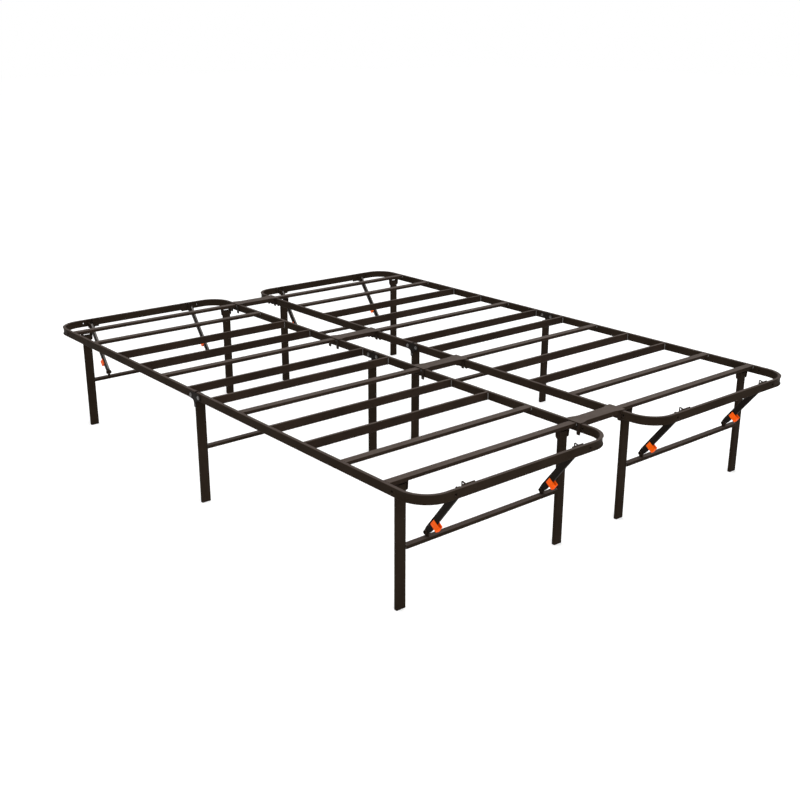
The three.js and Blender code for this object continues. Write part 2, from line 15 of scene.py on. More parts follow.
import bmesh
import bpy
import numpy as np
from mathutils import Matrix, Vector

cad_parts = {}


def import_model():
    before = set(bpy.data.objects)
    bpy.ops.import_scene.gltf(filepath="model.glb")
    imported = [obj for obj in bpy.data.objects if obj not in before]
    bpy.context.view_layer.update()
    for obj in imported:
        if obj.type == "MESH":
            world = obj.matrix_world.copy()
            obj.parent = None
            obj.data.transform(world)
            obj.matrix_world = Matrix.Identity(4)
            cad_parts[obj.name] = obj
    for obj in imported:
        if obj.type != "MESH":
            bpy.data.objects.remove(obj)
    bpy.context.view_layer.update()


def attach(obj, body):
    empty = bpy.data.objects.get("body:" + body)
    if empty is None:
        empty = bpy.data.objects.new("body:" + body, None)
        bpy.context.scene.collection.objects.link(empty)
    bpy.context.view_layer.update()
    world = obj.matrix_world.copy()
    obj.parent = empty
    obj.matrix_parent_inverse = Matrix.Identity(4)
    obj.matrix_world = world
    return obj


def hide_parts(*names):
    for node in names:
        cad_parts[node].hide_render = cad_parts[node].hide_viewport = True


LOG = logging.getLogger("bed_frame")

# One millimetre in metres.
METRES = 0.001
# Face attribute that carries the painted top light: one where a face looks up, and the height of its normal
# where that starts.
UPWARD = "upward"
UPWARD_FROM = 0.75
# Edges that turn by more than this many degrees are rounded, and by how much where nothing else is said.
SHARP_ANGLE = 40.0
SOFT_EDGE = 0.45
# Weight of the large faces in the normals that the faces round a corner share.
FLAT_WEIGHT = 80
# Rivet heads: part of the height that is a straight rim, and how far the dome goes in, in degrees.
RIM_PART = 0.3
DOME_SWEEP = 84.0
# Weld beads: length of one swelling, its part of the radius, and how far the ends close, in half lengths.
BEAD_PITCH = 2.2
BEAD_SWELL = 0.16
BEAD_END = 0.995
# Directions that sections are laid along.
ALONG_X = np.array([1.0, 0.0, 0.0])
ALONG_Y = np.array([0.0, 1.0, 0.0])
ALONG_Z = np.array([0.0, 0.0, 1.0])


# ---------------------------------------------------------------- choices


class Unit(Enum):
    """Side of the bed that a folding unit stands on, with its direction along Y."""

    NEAR = -1
    FAR = 1

    @property
    def tag(self) -> str:
        """Name of the unit in piece names."""
        return self.name.lower()


class End(Enum):
    """Half of the deck, with the direction along X that it faces."""

    FOOT = 1
    HEAD = -1

    @property
    def tag(self) -> str:
        """Name of the end in piece names."""
        return self.name.lower()

    @property
    def turn(self) -> float:
        """Angle about Z that brings a piece built facing +X to this end."""
        return 0.0 if self is End.FOOT else math.pi


class Axis(Enum):
    """Direction that an outline is carried along, with the columns of a point that the outline fills."""

    X = (1, 2, 0)
    Y = (0, 2, 1)
    Z = (0, 1, 2)


class Way(Enum):
    """What is done with a tool."""

    AWAY = "DIFFERENCE"
    ON = "UNION"


# ---------------------------------------------------------------- skins


@dataclass(frozen=True)
class Skin:
    """Closed skin: its points, the point numbers round every face, and the corner count of every face."""

    points: np.ndarray
    corners: np.ndarray
    sizes: np.ndarray


def joined(skins: Sequence[Skin]) -> Skin:
    """Puts several skins into one, each keeping its own points.

    Args:
        skins: The skins to gather.

    Returns:
        One skin that holds them all.
    """
    offsets = np.cumsum([0] + [len(skin.points) for skin in skins[:-1]])
    corners = [skin.corners + offset for skin, offset in zip(skins, offsets)]
    return Skin(
        np.concatenate([skin.points for skin in skins]),
        np.concatenate(corners),
        np.concatenate([skin.sizes for skin in skins]),
    )


def skin_of(loops: np.ndarray) -> Skin:
    """Joins rows of points into a closed skin.

    Point (i, j) is joined to (i, j + 1), (i + 1, j + 1) and (i + 1, j), and j runs round. The first and
    the last row are closed with a flat face.

    Args:
        loops: Array of rows by columns by three.

    Returns:
        The skin.
    """
    rows, columns, _ = loops.shape
    i = np.arange(rows - 1)[:, None] * columns
    j = np.arange(columns)[None, :]
    after = (j + 1) % columns
    quads = np.stack([i + j, i + after, i + columns + after, i + columns + j], axis=-1)
    first = np.arange(columns)[::-1]
    last = (rows - 1) * columns + np.arange(columns)
    return Skin(
        loops.reshape(-1, 3).astype(float),
        np.concatenate([quads.reshape(-1), first, last]),
        np.concatenate([np.full(quads.size // 4, 4), [columns, columns]]),
    )


def arc(centre: tuple[float, float], radius: float, start: float, end: float, steps: int) -> np.ndarray:
    """Points on an arc: centre plus radius times cosine and sine of an angle that runs from start to end.

    Args:
        centre: Middle of the arc.
        radius: Its radius.
        start: First angle in degrees.
        end: Last angle in degrees.
        steps: Number of chords.

    Returns:
        Array of steps + 1 by two.
    """
    angle = np.radians(np.linspace(start, end, steps + 1))
    return np.stack([centre[0] + radius * np.cos(angle), centre[1] + radius * np.sin(angle)], axis=1)


def rounded_box(wide: float, tall: float, radius: float, steps: int = 4, rows: int = 1) -> np.ndarray:
    """Rectangle round the origin with four corner arcs, its upright sides cut into rows.

    Args:
        wide: Size along the first axis.
        tall: Size along the second axis.
        radius: Corner radius.
        steps: Chords in each corner.
        rows: Number of parts of each upright side.

    Returns:
        Array of points by two, anticlockwise.
    """
    w = wide / 2
    h = tall / 2
    heights = np.linspace(radius - h, h - radius, rows + 1)[1:-1]
    right = np.stack([np.full(len(heights), w), heights], axis=1)
    left = np.stack([np.full(len(heights), -w), heights[::-1]], axis=1)
    return np.concatenate([
        arc((w - radius, h - radius), radius, 0, 90, steps),
        arc((radius - w, h - radius), radius, 90, 180, steps),
        left,
        arc((radius - w, radius - h), radius, 180, 270, steps),
        arc((w - radius, radius - h), radius, 270, 360, steps),
        right,
    ])


def carried(section: np.ndarray, stations: np.ndarray, across: np.ndarray, up: np.ndarray) -> np.ndarray:
    """Carries a section along a path: station + first coordinate times across + second times up.

    Args:
        section: Points by two, or stations by points by two where it changes along the path.
        stations: Path points, one row each.
        across: Direction of the section's first coordinate, one for all or one each.
        up: Direction of its second coordinate, one for all or one each.

    Returns:
        Loops: stations by points by three.
    """
    count = len(stations)
    shape = section if section.ndim == 3 else np.broadcast_to(section, (count, *section.shape))
    first = np.broadcast_to(across, (count, 3))
    second = np.broadcast_to(up, (count, 3))
    return stations[:, None, :] + shape[..., :1] * first[:, None, :] + shape[..., 1:] * second[:, None, :]


def straight(section: np.ndarray, first: Sequence[float], last: Sequence[float], across: np.ndarray) -> Skin:
    """Straight bar: a section carried from one point to another, with its height along Z.

    Args:
        section: Points by two.
        first: Where the section's origin starts.
        last: Where it ends.
        across: Direction of the section's first coordinate.

    Returns:
        The bar's skin.
    """
    return skin_of(carried(section, np.array([first, last], dtype=float), across, ALONG_Z))


def slab(outline: np.ndarray | Sequence[tuple[float, float]], low: float, high: float, axis: Axis) -> Skin:
    """Straight block: a flat outline carried along one axis from low to high.

    Args:
        outline: Corner points in the other two axes, in their order X, Y, Z.
        low: Where it starts along the axis.
        high: Where it ends.
        axis: The axis.

    Returns:
        The block's skin.
    """
    flat = np.asarray(outline, dtype=float)
    loops = np.zeros((2, len(flat), 3))
    first, second, along = axis.value
    loops[:, :, first] = flat[:, 0]
    loops[:, :, second] = flat[:, 1]
    loops[:, :, along] = np.array([[low], [high]])
    return skin_of(loops)


def block(low: tuple[float, float, float], high: tuple[float, float, float]) -> Skin:
    """Square block between two corners."""
    outline = [(low[0], low[1]), (high[0], low[1]), (high[0], high[1]), (low[0], high[1])]
    return slab(outline, low[2], high[2], Axis.Z)


def turned(
    profile: Sequence[tuple[float, float]], centre: tuple[float, float], axis: Axis, sides: int = 28
) -> Skin:
    """Turned piece: a circle whose radius changes with its height along an axis.

    Args:
        profile: Pairs of height and radius, from one end to the other.
        centre: Where the axis passes, in the other two axes in their order X, Y, Z.
        axis: Direction of the heights.
        sides: Points round the circle; six gives a hexagon.

    Returns:
        The piece's skin.
    """
    heights = np.array([height for height, _ in profile])
    radii = np.array([radius for _, radius in profile])
    angle = np.linspace(0, 2 * math.pi, sides, endpoint=False)
    loops = np.zeros((len(profile), sides, 3))
    first, second, along = axis.value
    loops[:, :, first] = centre[0] + radii[:, None] * np.cos(angle)
    loops[:, :, second] = centre[1] + radii[:, None] * np.sin(angle)
    loops[:, :, along] = heights[:, None]
    return skin_of(loops)


def round_pin(
    span: tuple[float, float], radius: float, centre: tuple[float, float], axis: Axis, sides: int = 28
) -> Skin:
    """Plain round pin or bore along an axis.

    Args:
        span: Its two ends along the axis.
        radius: Its radius.
        centre: Where the axis passes, in the other two axes in their order X, Y, Z.
        axis: Its direction.
        sides: Points round the circle.

    Returns:
        The pin's skin.
    """
    return turned([(height, radius) for height in span], centre, axis, sides)


def rivet_head(
    centre: tuple[float, float], base: float, out: float, radius: float, tall: float, axis: Axis
) -> Skin:
    """Domed rivet head: a short rim and then most of a quarter ellipse in towards the middle.

    Args:
        centre: Where the rivet's axis passes.
        base: Height where the head sits on its plate, with a little of it sunk in.
        out: Direction away from the plate, 1 or -1.
        radius: Radius of the head.
        tall: How far it stands out.
        axis: Direction of the rivet.

    Returns:
        The head's skin.
    """
    sweep = np.radians(np.linspace(0, DOME_SWEEP, 7))
    rim = RIM_PART * tall
    heights = base + out * (rim + (tall - rim) * np.sin(sweep))
    radii = radius * np.cos(sweep)
    profile = [(base - out * rim, radius), (base, radius), *zip(heights, radii)]
    return turned(profile, centre, axis)


def weld_bead(start: Sequence[float], end: Sequence[float], radius: float, lean: float = 0.0) -> Skin:
    """Weld bead: a round string whose radius swells once in every pitch and closes in at both ends.

    The radius at distance s is the given one, times one plus the swelling times the size of the sine of
    pi s over the pitch, times the square root of one minus the fourth power of the distance from the
    middle in half lengths.

    Args:
        start: First end.
        end: Second end.
        radius: Plain radius.
        lean: Phase of the swellings, as a part of the pitch.

    Returns:
        The bead's skin.
    """
    first = np.asarray(start, dtype=float)
    last = np.asarray(end, dtype=float)
    length = float(np.linalg.norm(last - first))
    along = (last - first) / length
    helper = ALONG_Z if abs(along[2]) < 0.9 else ALONG_X
    across = np.cross(helper, along)
    across /= np.linalg.norm(across)
    up = np.cross(along, across)
    rows = max(9, 2 * int(length / BEAD_PITCH) + 3)
    part = np.linspace(-BEAD_END, BEAD_END, rows)
    travel = (part + 1) / 2 * length
    swell = 1 + BEAD_SWELL * np.abs(np.sin(math.pi * (travel / BEAD_PITCH + lean)))
    radii = radius * swell * np.sqrt(1 - part**4)
    circle = arc((0, 0), 1, 0, 360, 8)[:-1]
    section = radii[:, None, None] * circle[None, :, :]
    return skin_of(carried(section, first + travel[:, None] * along, across, up))


# ---------------------------------------------------------------- meshes


def mesh_of(skin: Skin, name: str) -> bpy.types.Mesh:
    """Writes a skin into a mesh, with its faces turned outwards.

    Args:
        skin: The closed skin.
        name: Name of the mesh.

    Returns:
        The mesh, in the skin's own units.
    """
    mesh = bpy.data.meshes.new(name)
    mesh.vertices.add(len(skin.points))
    mesh.vertices.foreach_set("co", skin.points.ravel())
    mesh.loops.add(len(skin.corners))
    mesh.loops.foreach_set("vertex_index", skin.corners.astype(np.int32))
    mesh.polygons.add(len(skin.sizes))
    starts = np.concatenate([[0], np.cumsum(skin.sizes)[:-1]])
    mesh.polygons.foreach_set("loop_start", starts.astype(np.int32))
    mesh.update(calc_edges=True)
    mesh.validate()
    work = bmesh.new()
    work.from_mesh(mesh)
    bmesh.ops.recalc_face_normals(work, faces=work.faces)
    work.to_mesh(mesh)
    work.free()
    return mesh


def read_skin(mesh: bpy.types.Mesh) -> Skin:
    """Reads a mesh back into a skin."""
    points = np.empty(3 * len(mesh.vertices))
    mesh.vertices.foreach_get("co", points)
    corners = np.empty(len(mesh.loops), dtype=np.int32)
    mesh.loops.foreach_get("vertex_index", corners)
    sizes = np.empty(len(mesh.polygons), dtype=np.int32)
    mesh.polygons.foreach_get("loop_total", sizes)
    return Skin(points.reshape(-1, 3), corners, sizes)


def worn(mesh: bpy.types.Mesh, name: str) -> bpy.types.Object:
    """Object in the scene that carries a mesh."""
    piece = bpy.data.objects.new(name, mesh)
    bpy.context.scene.collection.objects.link(piece)
    return piece


def evaluated(piece: bpy.types.Object) -> bpy.types.Mesh:
    """New mesh of a piece with its modifiers done; the piece itself goes away."""
    bpy.context.view_layer.update()
    result = bpy.data.meshes.new_from_object(piece.evaluated_get(bpy.context.evaluated_depsgraph_get()))
    bpy.data.objects.remove(piece)
    return result


def carved(skin: Skin, tools: Sequence[Skin], how: Way = Way.AWAY) -> Skin:
    """Cuts every tool out of a skin, or joins it on.

    Args:
        skin: Closed skin to work on.
        tools: Closed skins that are taken away or joined on, one after the other.
        how: Whether they are taken away or joined on.

    Returns:
        The new skin.
    """
    piece = worn(mesh_of(skin, "blank"), "blank")
    cutters = []
    for tool in tools:
        cutter = worn(mesh_of(tool, "cutter"), "cutter")
        cut = piece.modifiers.new("cut", "BOOLEAN")
        cut.operation = how.value
        cut.solver = "EXACT"
        cut.object = cutter
        cutters.append(cutter)
    left = evaluated(piece)
    for cutter in cutters:
        bpy.data.objects.remove(cutter)
    result = read_skin(left)
    bpy.data.meshes.remove(left)
    return result


def shaped(skins: Sequence[Skin], name: str, edge: float = SOFT_EDGE) -> bpy.types.Mesh:
    """Finished mesh of several skins: sharp edges rounded, and flat faces kept flat under the light.

    Args:
        skins: The closed skins of one piece.
        name: Name of the mesh.
        edge: Width of the rounding on each sharp edge, nought for none.

    Returns:
        The mesh in millimetres.
    """
    piece = worn(mesh_of(joined(skins), name), name)
    piece.data.shade_smooth()
    if edge > 0:
        bevel = piece.modifiers.new("edges", "BEVEL")
        bevel.width = edge
        bevel.segments = 2
        bevel.limit_method = "ANGLE"
        bevel.angle_limit = math.radians(SHARP_ANGLE)
        bevel.use_clamp_overlap = False
    weighted = piece.modifiers.new("flats", "WEIGHTED_NORMAL")
    weighted.keep_sharp = True
    weighted.weight = FLAT_WEIGHT
    mesh = evaluated(piece)
    mesh.name = name
    return mesh


# ---------------------------------------------------------------- finishes


@dataclass(frozen=True)
class CoatFinish:
    """Baked powder coat on steel: dark, with soft mottling and a fine orange-peel skin.

    Noise scales are in patches per metre. The fine and the middle noise are finer than the slow one by
    the given factors.
    """

    name: str
    dark: tuple[float, float, float]
    light: tuple[float, float, float]
    smooth: float
    rough: float
    specular: float
    mottle: float = 9.0
    fine_factor: float = 22.0
    fine_share: float = 0.35
    middle_factor: float = 5.0
    tone_span: tuple[float, float] = (0.45, 0.9)
    polish_span: tuple[float, float] = (0.3, 0.7)
    peel: float = 520.0
    peel_depth: float = 0.00006
    peel_share: float = 0.6
    # Paler colour painted on faces that look up as painted top light, and how strong it gets over the slow
    # noise.
    film: tuple[float, float, float] | None = None
    film_span: tuple[float, float] = (0.75, 1.0)

    def material(self) -> bpy.types.Material:
        """Node material of the coat.

        Colour runs between the dark and the light tone with a slow noise and a faint finer one, roughness
        follows a middle noise, and a fine noise lifts the skin. Faces that look up can hold a paler painted
        top light, colour that stands in for the light falling on them.

        Returns:
            The material.
        """
        found = bpy.data.materials.get(self.name)
        if found:
            return found
        material = bpy.data.materials.new(self.name)
        material.use_nodes = True
        tree = material.node_tree
        shader = tree.nodes["Principled BSDF"]
        shader.inputs["Specular IOR Level"].default_value = self.specular
        shader.inputs["Metallic"].default_value = 0.0
        place = tree.nodes.new("ShaderNodeTexCoord")
        slow = noise(tree, place, self.mottle, 3.0)
        fine = noise(tree, place, self.mottle * self.fine_factor, 2.0)
        mixed = tree.nodes.new("ShaderNodeMath")
        mixed.operation = "MULTIPLY_ADD"
        mixed.inputs[1].default_value = self.fine_share
        tree.links.new(fine, mixed.inputs[0])
        tree.links.new(slow, mixed.inputs[2])
        patches = mixed.outputs[0]
        tone = tree.nodes.new("ShaderNodeValToRGB")
        for element, position, colour in zip(
            tone.color_ramp.elements, self.tone_span, (self.dark, self.light)
        ):
            element.position = position
            element.color = (*colour, 1)
        tree.links.new(patches, tone.inputs["Fac"])
        colour = tone.outputs["Color"]
        # Faces that look up get a paler painted top light.
        if self.film:
            colour = self.add_painted_top_light(tree, colour, patches)
        tree.links.new(colour, shader.inputs["Base Color"])
        middle = noise(tree, place, self.mottle * self.middle_factor, 4.0)
        polish = spread(tree, middle, self.polish_span, (self.smooth, self.rough))
        tree.links.new(polish, shader.inputs["Roughness"])
        lift = tree.nodes.new("ShaderNodeBump")
        lift.inputs["Strength"].default_value = self.peel_share
        lift.inputs["Distance"].default_value = self.peel_depth
        tree.links.new(noise(tree, place, self.peel, 2.0), lift.inputs["Height"])
        tree.links.new(lift.outputs["Normal"], shader.inputs["Normal"])
        return material

    def add_painted_top_light(
        self, tree: bpy.types.NodeTree, colour: bpy.types.NodeSocket, patches: bpy.types.NodeSocket
    ) -> bpy.types.NodeSocket:
        """Lays the painted top light over the faces that look up, a little weaker where the slow noise is
        low.

        Args:
            tree: Node tree of the coat.
            colour: Colour of the bare coat.
            patches: The noise that the coat's tone follows.

        Returns:
            The colour with its painted top light.
        """
        facing = tree.nodes.new("ShaderNodeAttribute")
        facing.attribute_name = UPWARD
        share = tree.nodes.new("ShaderNodeMath")
        share.operation = "MULTIPLY"
        tree.links.new(facing.outputs["Fac"], share.inputs[0])
        tree.links.new(spread(tree, patches, self.tone_span, self.film_span), share.inputs[1])
        # Mix the bare coat towards the painted top light colour.
        mix = tree.nodes.new("ShaderNodeMix")
        mix.data_type = "RGBA"
        bare, film = [socket for socket in mix.inputs if socket.type == "RGBA"]
        film.default_value = (*self.film, 1)
        tree.links.new(share.outputs[0], mix.inputs["Factor"])
        tree.links.new(colour, bare)
        return next(socket for socket in mix.outputs if socket.type == "RGBA")


def noise(
    tree: bpy.types.NodeTree, place: bpy.types.Node, scale: float, detail: float
) -> bpy.types.NodeSocket:
    """Value of a noise on the piece's own coordinates, in patches per metre."""
    node = tree.nodes.new("ShaderNodeTexNoise")
    node.inputs["Scale"].default_value = scale
    node.inputs["Detail"].default_value = detail
    tree.links.new(place.outputs["Object"], node.inputs["Vector"])
    return node.outputs["Fac"]


def spread(
    tree: bpy.types.NodeTree,
    value: bpy.types.NodeSocket,
    old: tuple[float, float],
    new: tuple[float, float],
) -> bpy.types.NodeSocket:
    """Value that runs over the new span while the given one runs over the old span."""
    node = tree.nodes.new("ShaderNodeMapRange")
    for label, number in zip(("From Min", "From Max", "To Min", "To Max"), (*old, *new)):
        node.inputs[label].default_value = number
    tree.links.new(value, node.inputs["Value"])
    return node.outputs["Result"]


class Finish(Enum):
    """The finishes of the bed frame, each with the material slot that it belongs to."""

    # The rail and slat coats carry a paler painted top light on faces that look up.
    RAIL = ("coated_steel", CoatFinish(
        name="rail_coat", dark=(0.0154, 0.0104, 0.0070), light=(0.0244, 0.0168, 0.0116),
        smooth=0.34, rough=0.48, specular=0.006, film=(0.0660, 0.0510, 0.0440),
    ))
    SLAT = ("coated_steel_brown", CoatFinish(
        name="slat_coat", dark=(0.0166, 0.0110, 0.0080), light=(0.0280, 0.0184, 0.0132),
        smooth=0.34, rough=0.50, specular=0.010, film=(0.0740, 0.0570, 0.0480),
    ))
    DARK = ("coated_steel_dark", CoatFinish(
        name="brace_coat", dark=(0.0084, 0.0066, 0.0054), light=(0.0150, 0.0116, 0.0094),
        smooth=0.34, rough=0.48, specular=0.018,
    ))
    # Paler, glossier coat for the braces' downward faces: a painted highlight.
    WORN = ("coated_steel_dark", CoatFinish(
        name="worn_coat", dark=(0.0720, 0.0640, 0.0590), light=(0.1500, 0.1380, 0.1290),
        smooth=0.30, rough=0.44, specular=0.20, mottle=30.0,
    ))
    # Paler, glossy coat on the weld beads: a painted highlight on the coated beads.
    WELD = ("coated_steel", CoatFinish(
        name="weld_coat", dark=(0.0600, 0.0540, 0.0500), light=(0.1500, 0.1400, 0.1320),
        smooth=0.22, rough=0.36, specular=0.50, mottle=60.0,
    ))
    RIVET = ("coated_steel_dark", CoatFinish(
        name="rivet_coat", dark=(0.0240, 0.0200, 0.0180), light=(0.0900, 0.0820, 0.0760),
        smooth=0.24, rough=0.38, specular=0.45, mottle=70.0,
    ))
    CLIP = ("orange_plastic", CoatFinish(
        name="clip_plastic", dark=(1.0, 0.100, 0.0), light=(1.0, 0.130, 0.0),
        smooth=0.36, rough=0.50, specular=0.10, mottle=40.0, peel=900.0, peel_depth=0.00004,
    ))

    @property
    def slot(self) -> str:
        """Material slot that the finish belongs to."""
        return self.value[0]

    @property
    def material(self) -> bpy.types.Material:
        """The finish's node material."""
        return self.value[1].material()


def placed(
    mesh: bpy.types.Mesh,
    name: str,
    where: Matrix,
    finish: Finish,
    body: str,
    nodes: Sequence[str] = (),
) -> bpy.types.Object:
    """Sets a copy of a finished mesh where it belongs and ties it to the solid model.

    Args:
        mesh: Finished mesh in millimetres.
        name: Name of the new piece.
        where: Its place, in millimetres.
        finish: Its finish.
        body: Body that it moves with.
        nodes: Solid parts that it stands for.

    Returns:
        The piece.
    """
    own = mesh.copy()
    own.transform(Matrix.Scale(METRES, 4) @ where)
    # Share of the painted top light on each face, from how far its normal looks up.
    level = np.array([face.normal.z for face in own.polygons])
    share = np.clip((level - UPWARD_FROM) / (1 - UPWARD_FROM), 0, 1)
    own.attributes.new(UPWARD, "FLOAT", "FACE").data.foreach_set("value", share)
    own.name = name
    own.materials.clear()
    own.materials.append(finish.material)
    piece = worn(own, name)
    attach(piece, body)
    if nodes:
        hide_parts(*nodes)
    LOG.info("%s: %d faces on %s", name, len(own.polygons), body)
    return piece


# ---------------------------------------------------------------- overall layout


@dataclass(frozen=True)
class Layout:
    """Overall sizes that every sub-assembly shares."""

    length: float = 2032.0
    width: float = 1524.0
    deck: float = 355.6
    unit_gap: float = 160.0
    rail_thick: float = 12.0
    rail_tall: float = 25.0
    hinge_x: float = -8.5
    hinge_half: float = 21.5
    end_slat_inset: float = 143.0
    leg_pivot_drop: float = 28.6
    brace_from_side: float = 133.5
    brace_shift: float = 8.0
    brace_pin_from_rail: float = 17.0
    brace_pin_drop: float = 22.3
    brace_wide: float = 8.0
    slide_gap: float = 0.4
    crossbar_height: float = 167.5
    crossbar_tall: float = 10.0
    stop_rise: float = 12.5
    touch_gap: float = 0.3
    saddle_gap: float = 0.6
    saddle_plate: float = 2.4
    inner_connector: float = 225.0

    @property
    def half(self) -> float:
        """Half of the bed's length."""
        return self.length / 2

    @property
    def unit_width(self) -> float:
        """Width of one folding unit."""
        return (self.width - self.unit_gap) / 2

    @property
    def side(self) -> float:
        """Half of a unit's width."""
        return self.unit_width / 2

    @property
    def unit_centre(self) -> float:
        """Distance from the bed's middle line to a unit's."""
        return (self.unit_gap + self.unit_width) / 2

    @property
    def rail_low(self) -> float:
        """Height of the rail's underside."""
        return self.deck - self.rail_tall

    @property
    def rail_mid(self) -> float:
        """Height of the rail's middle."""
        return self.deck - self.rail_tall / 2

    @property
    def end_slat(self) -> float:
        """Distance from the bed's middle to an end slat."""
        return self.half - self.end_slat_inset

    @property
    def saddle_web(self) -> float:
        """Height of the top face of the web in a middle hinge saddle."""
        return self.rail_low - self.saddle_gap

    @property
    def middle_leg_top(self) -> float:
        """Height of the top of a middle leg, just under the saddle's web."""
        return self.saddle_web - self.saddle_plate - self.touch_gap

    @property
    def leg_pivot(self) -> float:
        """Height of the end legs' pivot."""
        return self.deck - self.leg_pivot_drop

    def brace_y(self, side: int) -> float:
        """Place of a brace along Y from its unit's middle line: both stand a little to the same side."""
        return side * (self.side - self.brace_from_side) + self.brace_shift

    @property
    def brace_pin(self) -> tuple[float, float]:
        """Place of the pin at the top of a brace, along X and Z."""
        return (self.half - self.rail_thick - self.brace_pin_from_rail, self.deck - self.brace_pin_drop)

    @property
    def stop_pin(self) -> tuple[float, float]:
        """Place of the bolt below a brace, along X and Z."""
        top = self.crossbar_height + self.crossbar_tall / 2
        return (self.end_slat, top + self.stop_rise)

    @property
    def brace_span(self) -> float:
        """Distance between a brace's pin and its bolt."""
        high = self.brace_pin
        low = self.stop_pin
        return math.hypot(high[0] - low[0], high[1] - low[1])

    @property
    def brace_turn(self) -> float:
        """Angle about Y that lays a brace's length from its pin towards its bolt."""
        high = self.brace_pin
        low = self.stop_pin
        return math.pi - math.atan2(high[1] - low[1], high[0] - low[0])

    def at_end(self, end: End, unit: Unit | None = None, x: float = 0.0) -> Matrix:
        """Place of a piece built facing +X round its unit's middle line, or round the bed's.

        Args:
            end: The end that it belongs to.
            unit: Its unit, or none for the bed's middle line.
            x: Distance from the bed's middle.

        Returns:
            The place as a matrix in millimetres.
        """
        y = 0.0 if unit is None else end.value * unit.value * self.unit_centre
        return Matrix.Rotation(end.turn, 4, "Z") @ Matrix.Translation((x, y, 0))


# ---------------------------------------------------------------- deck rails


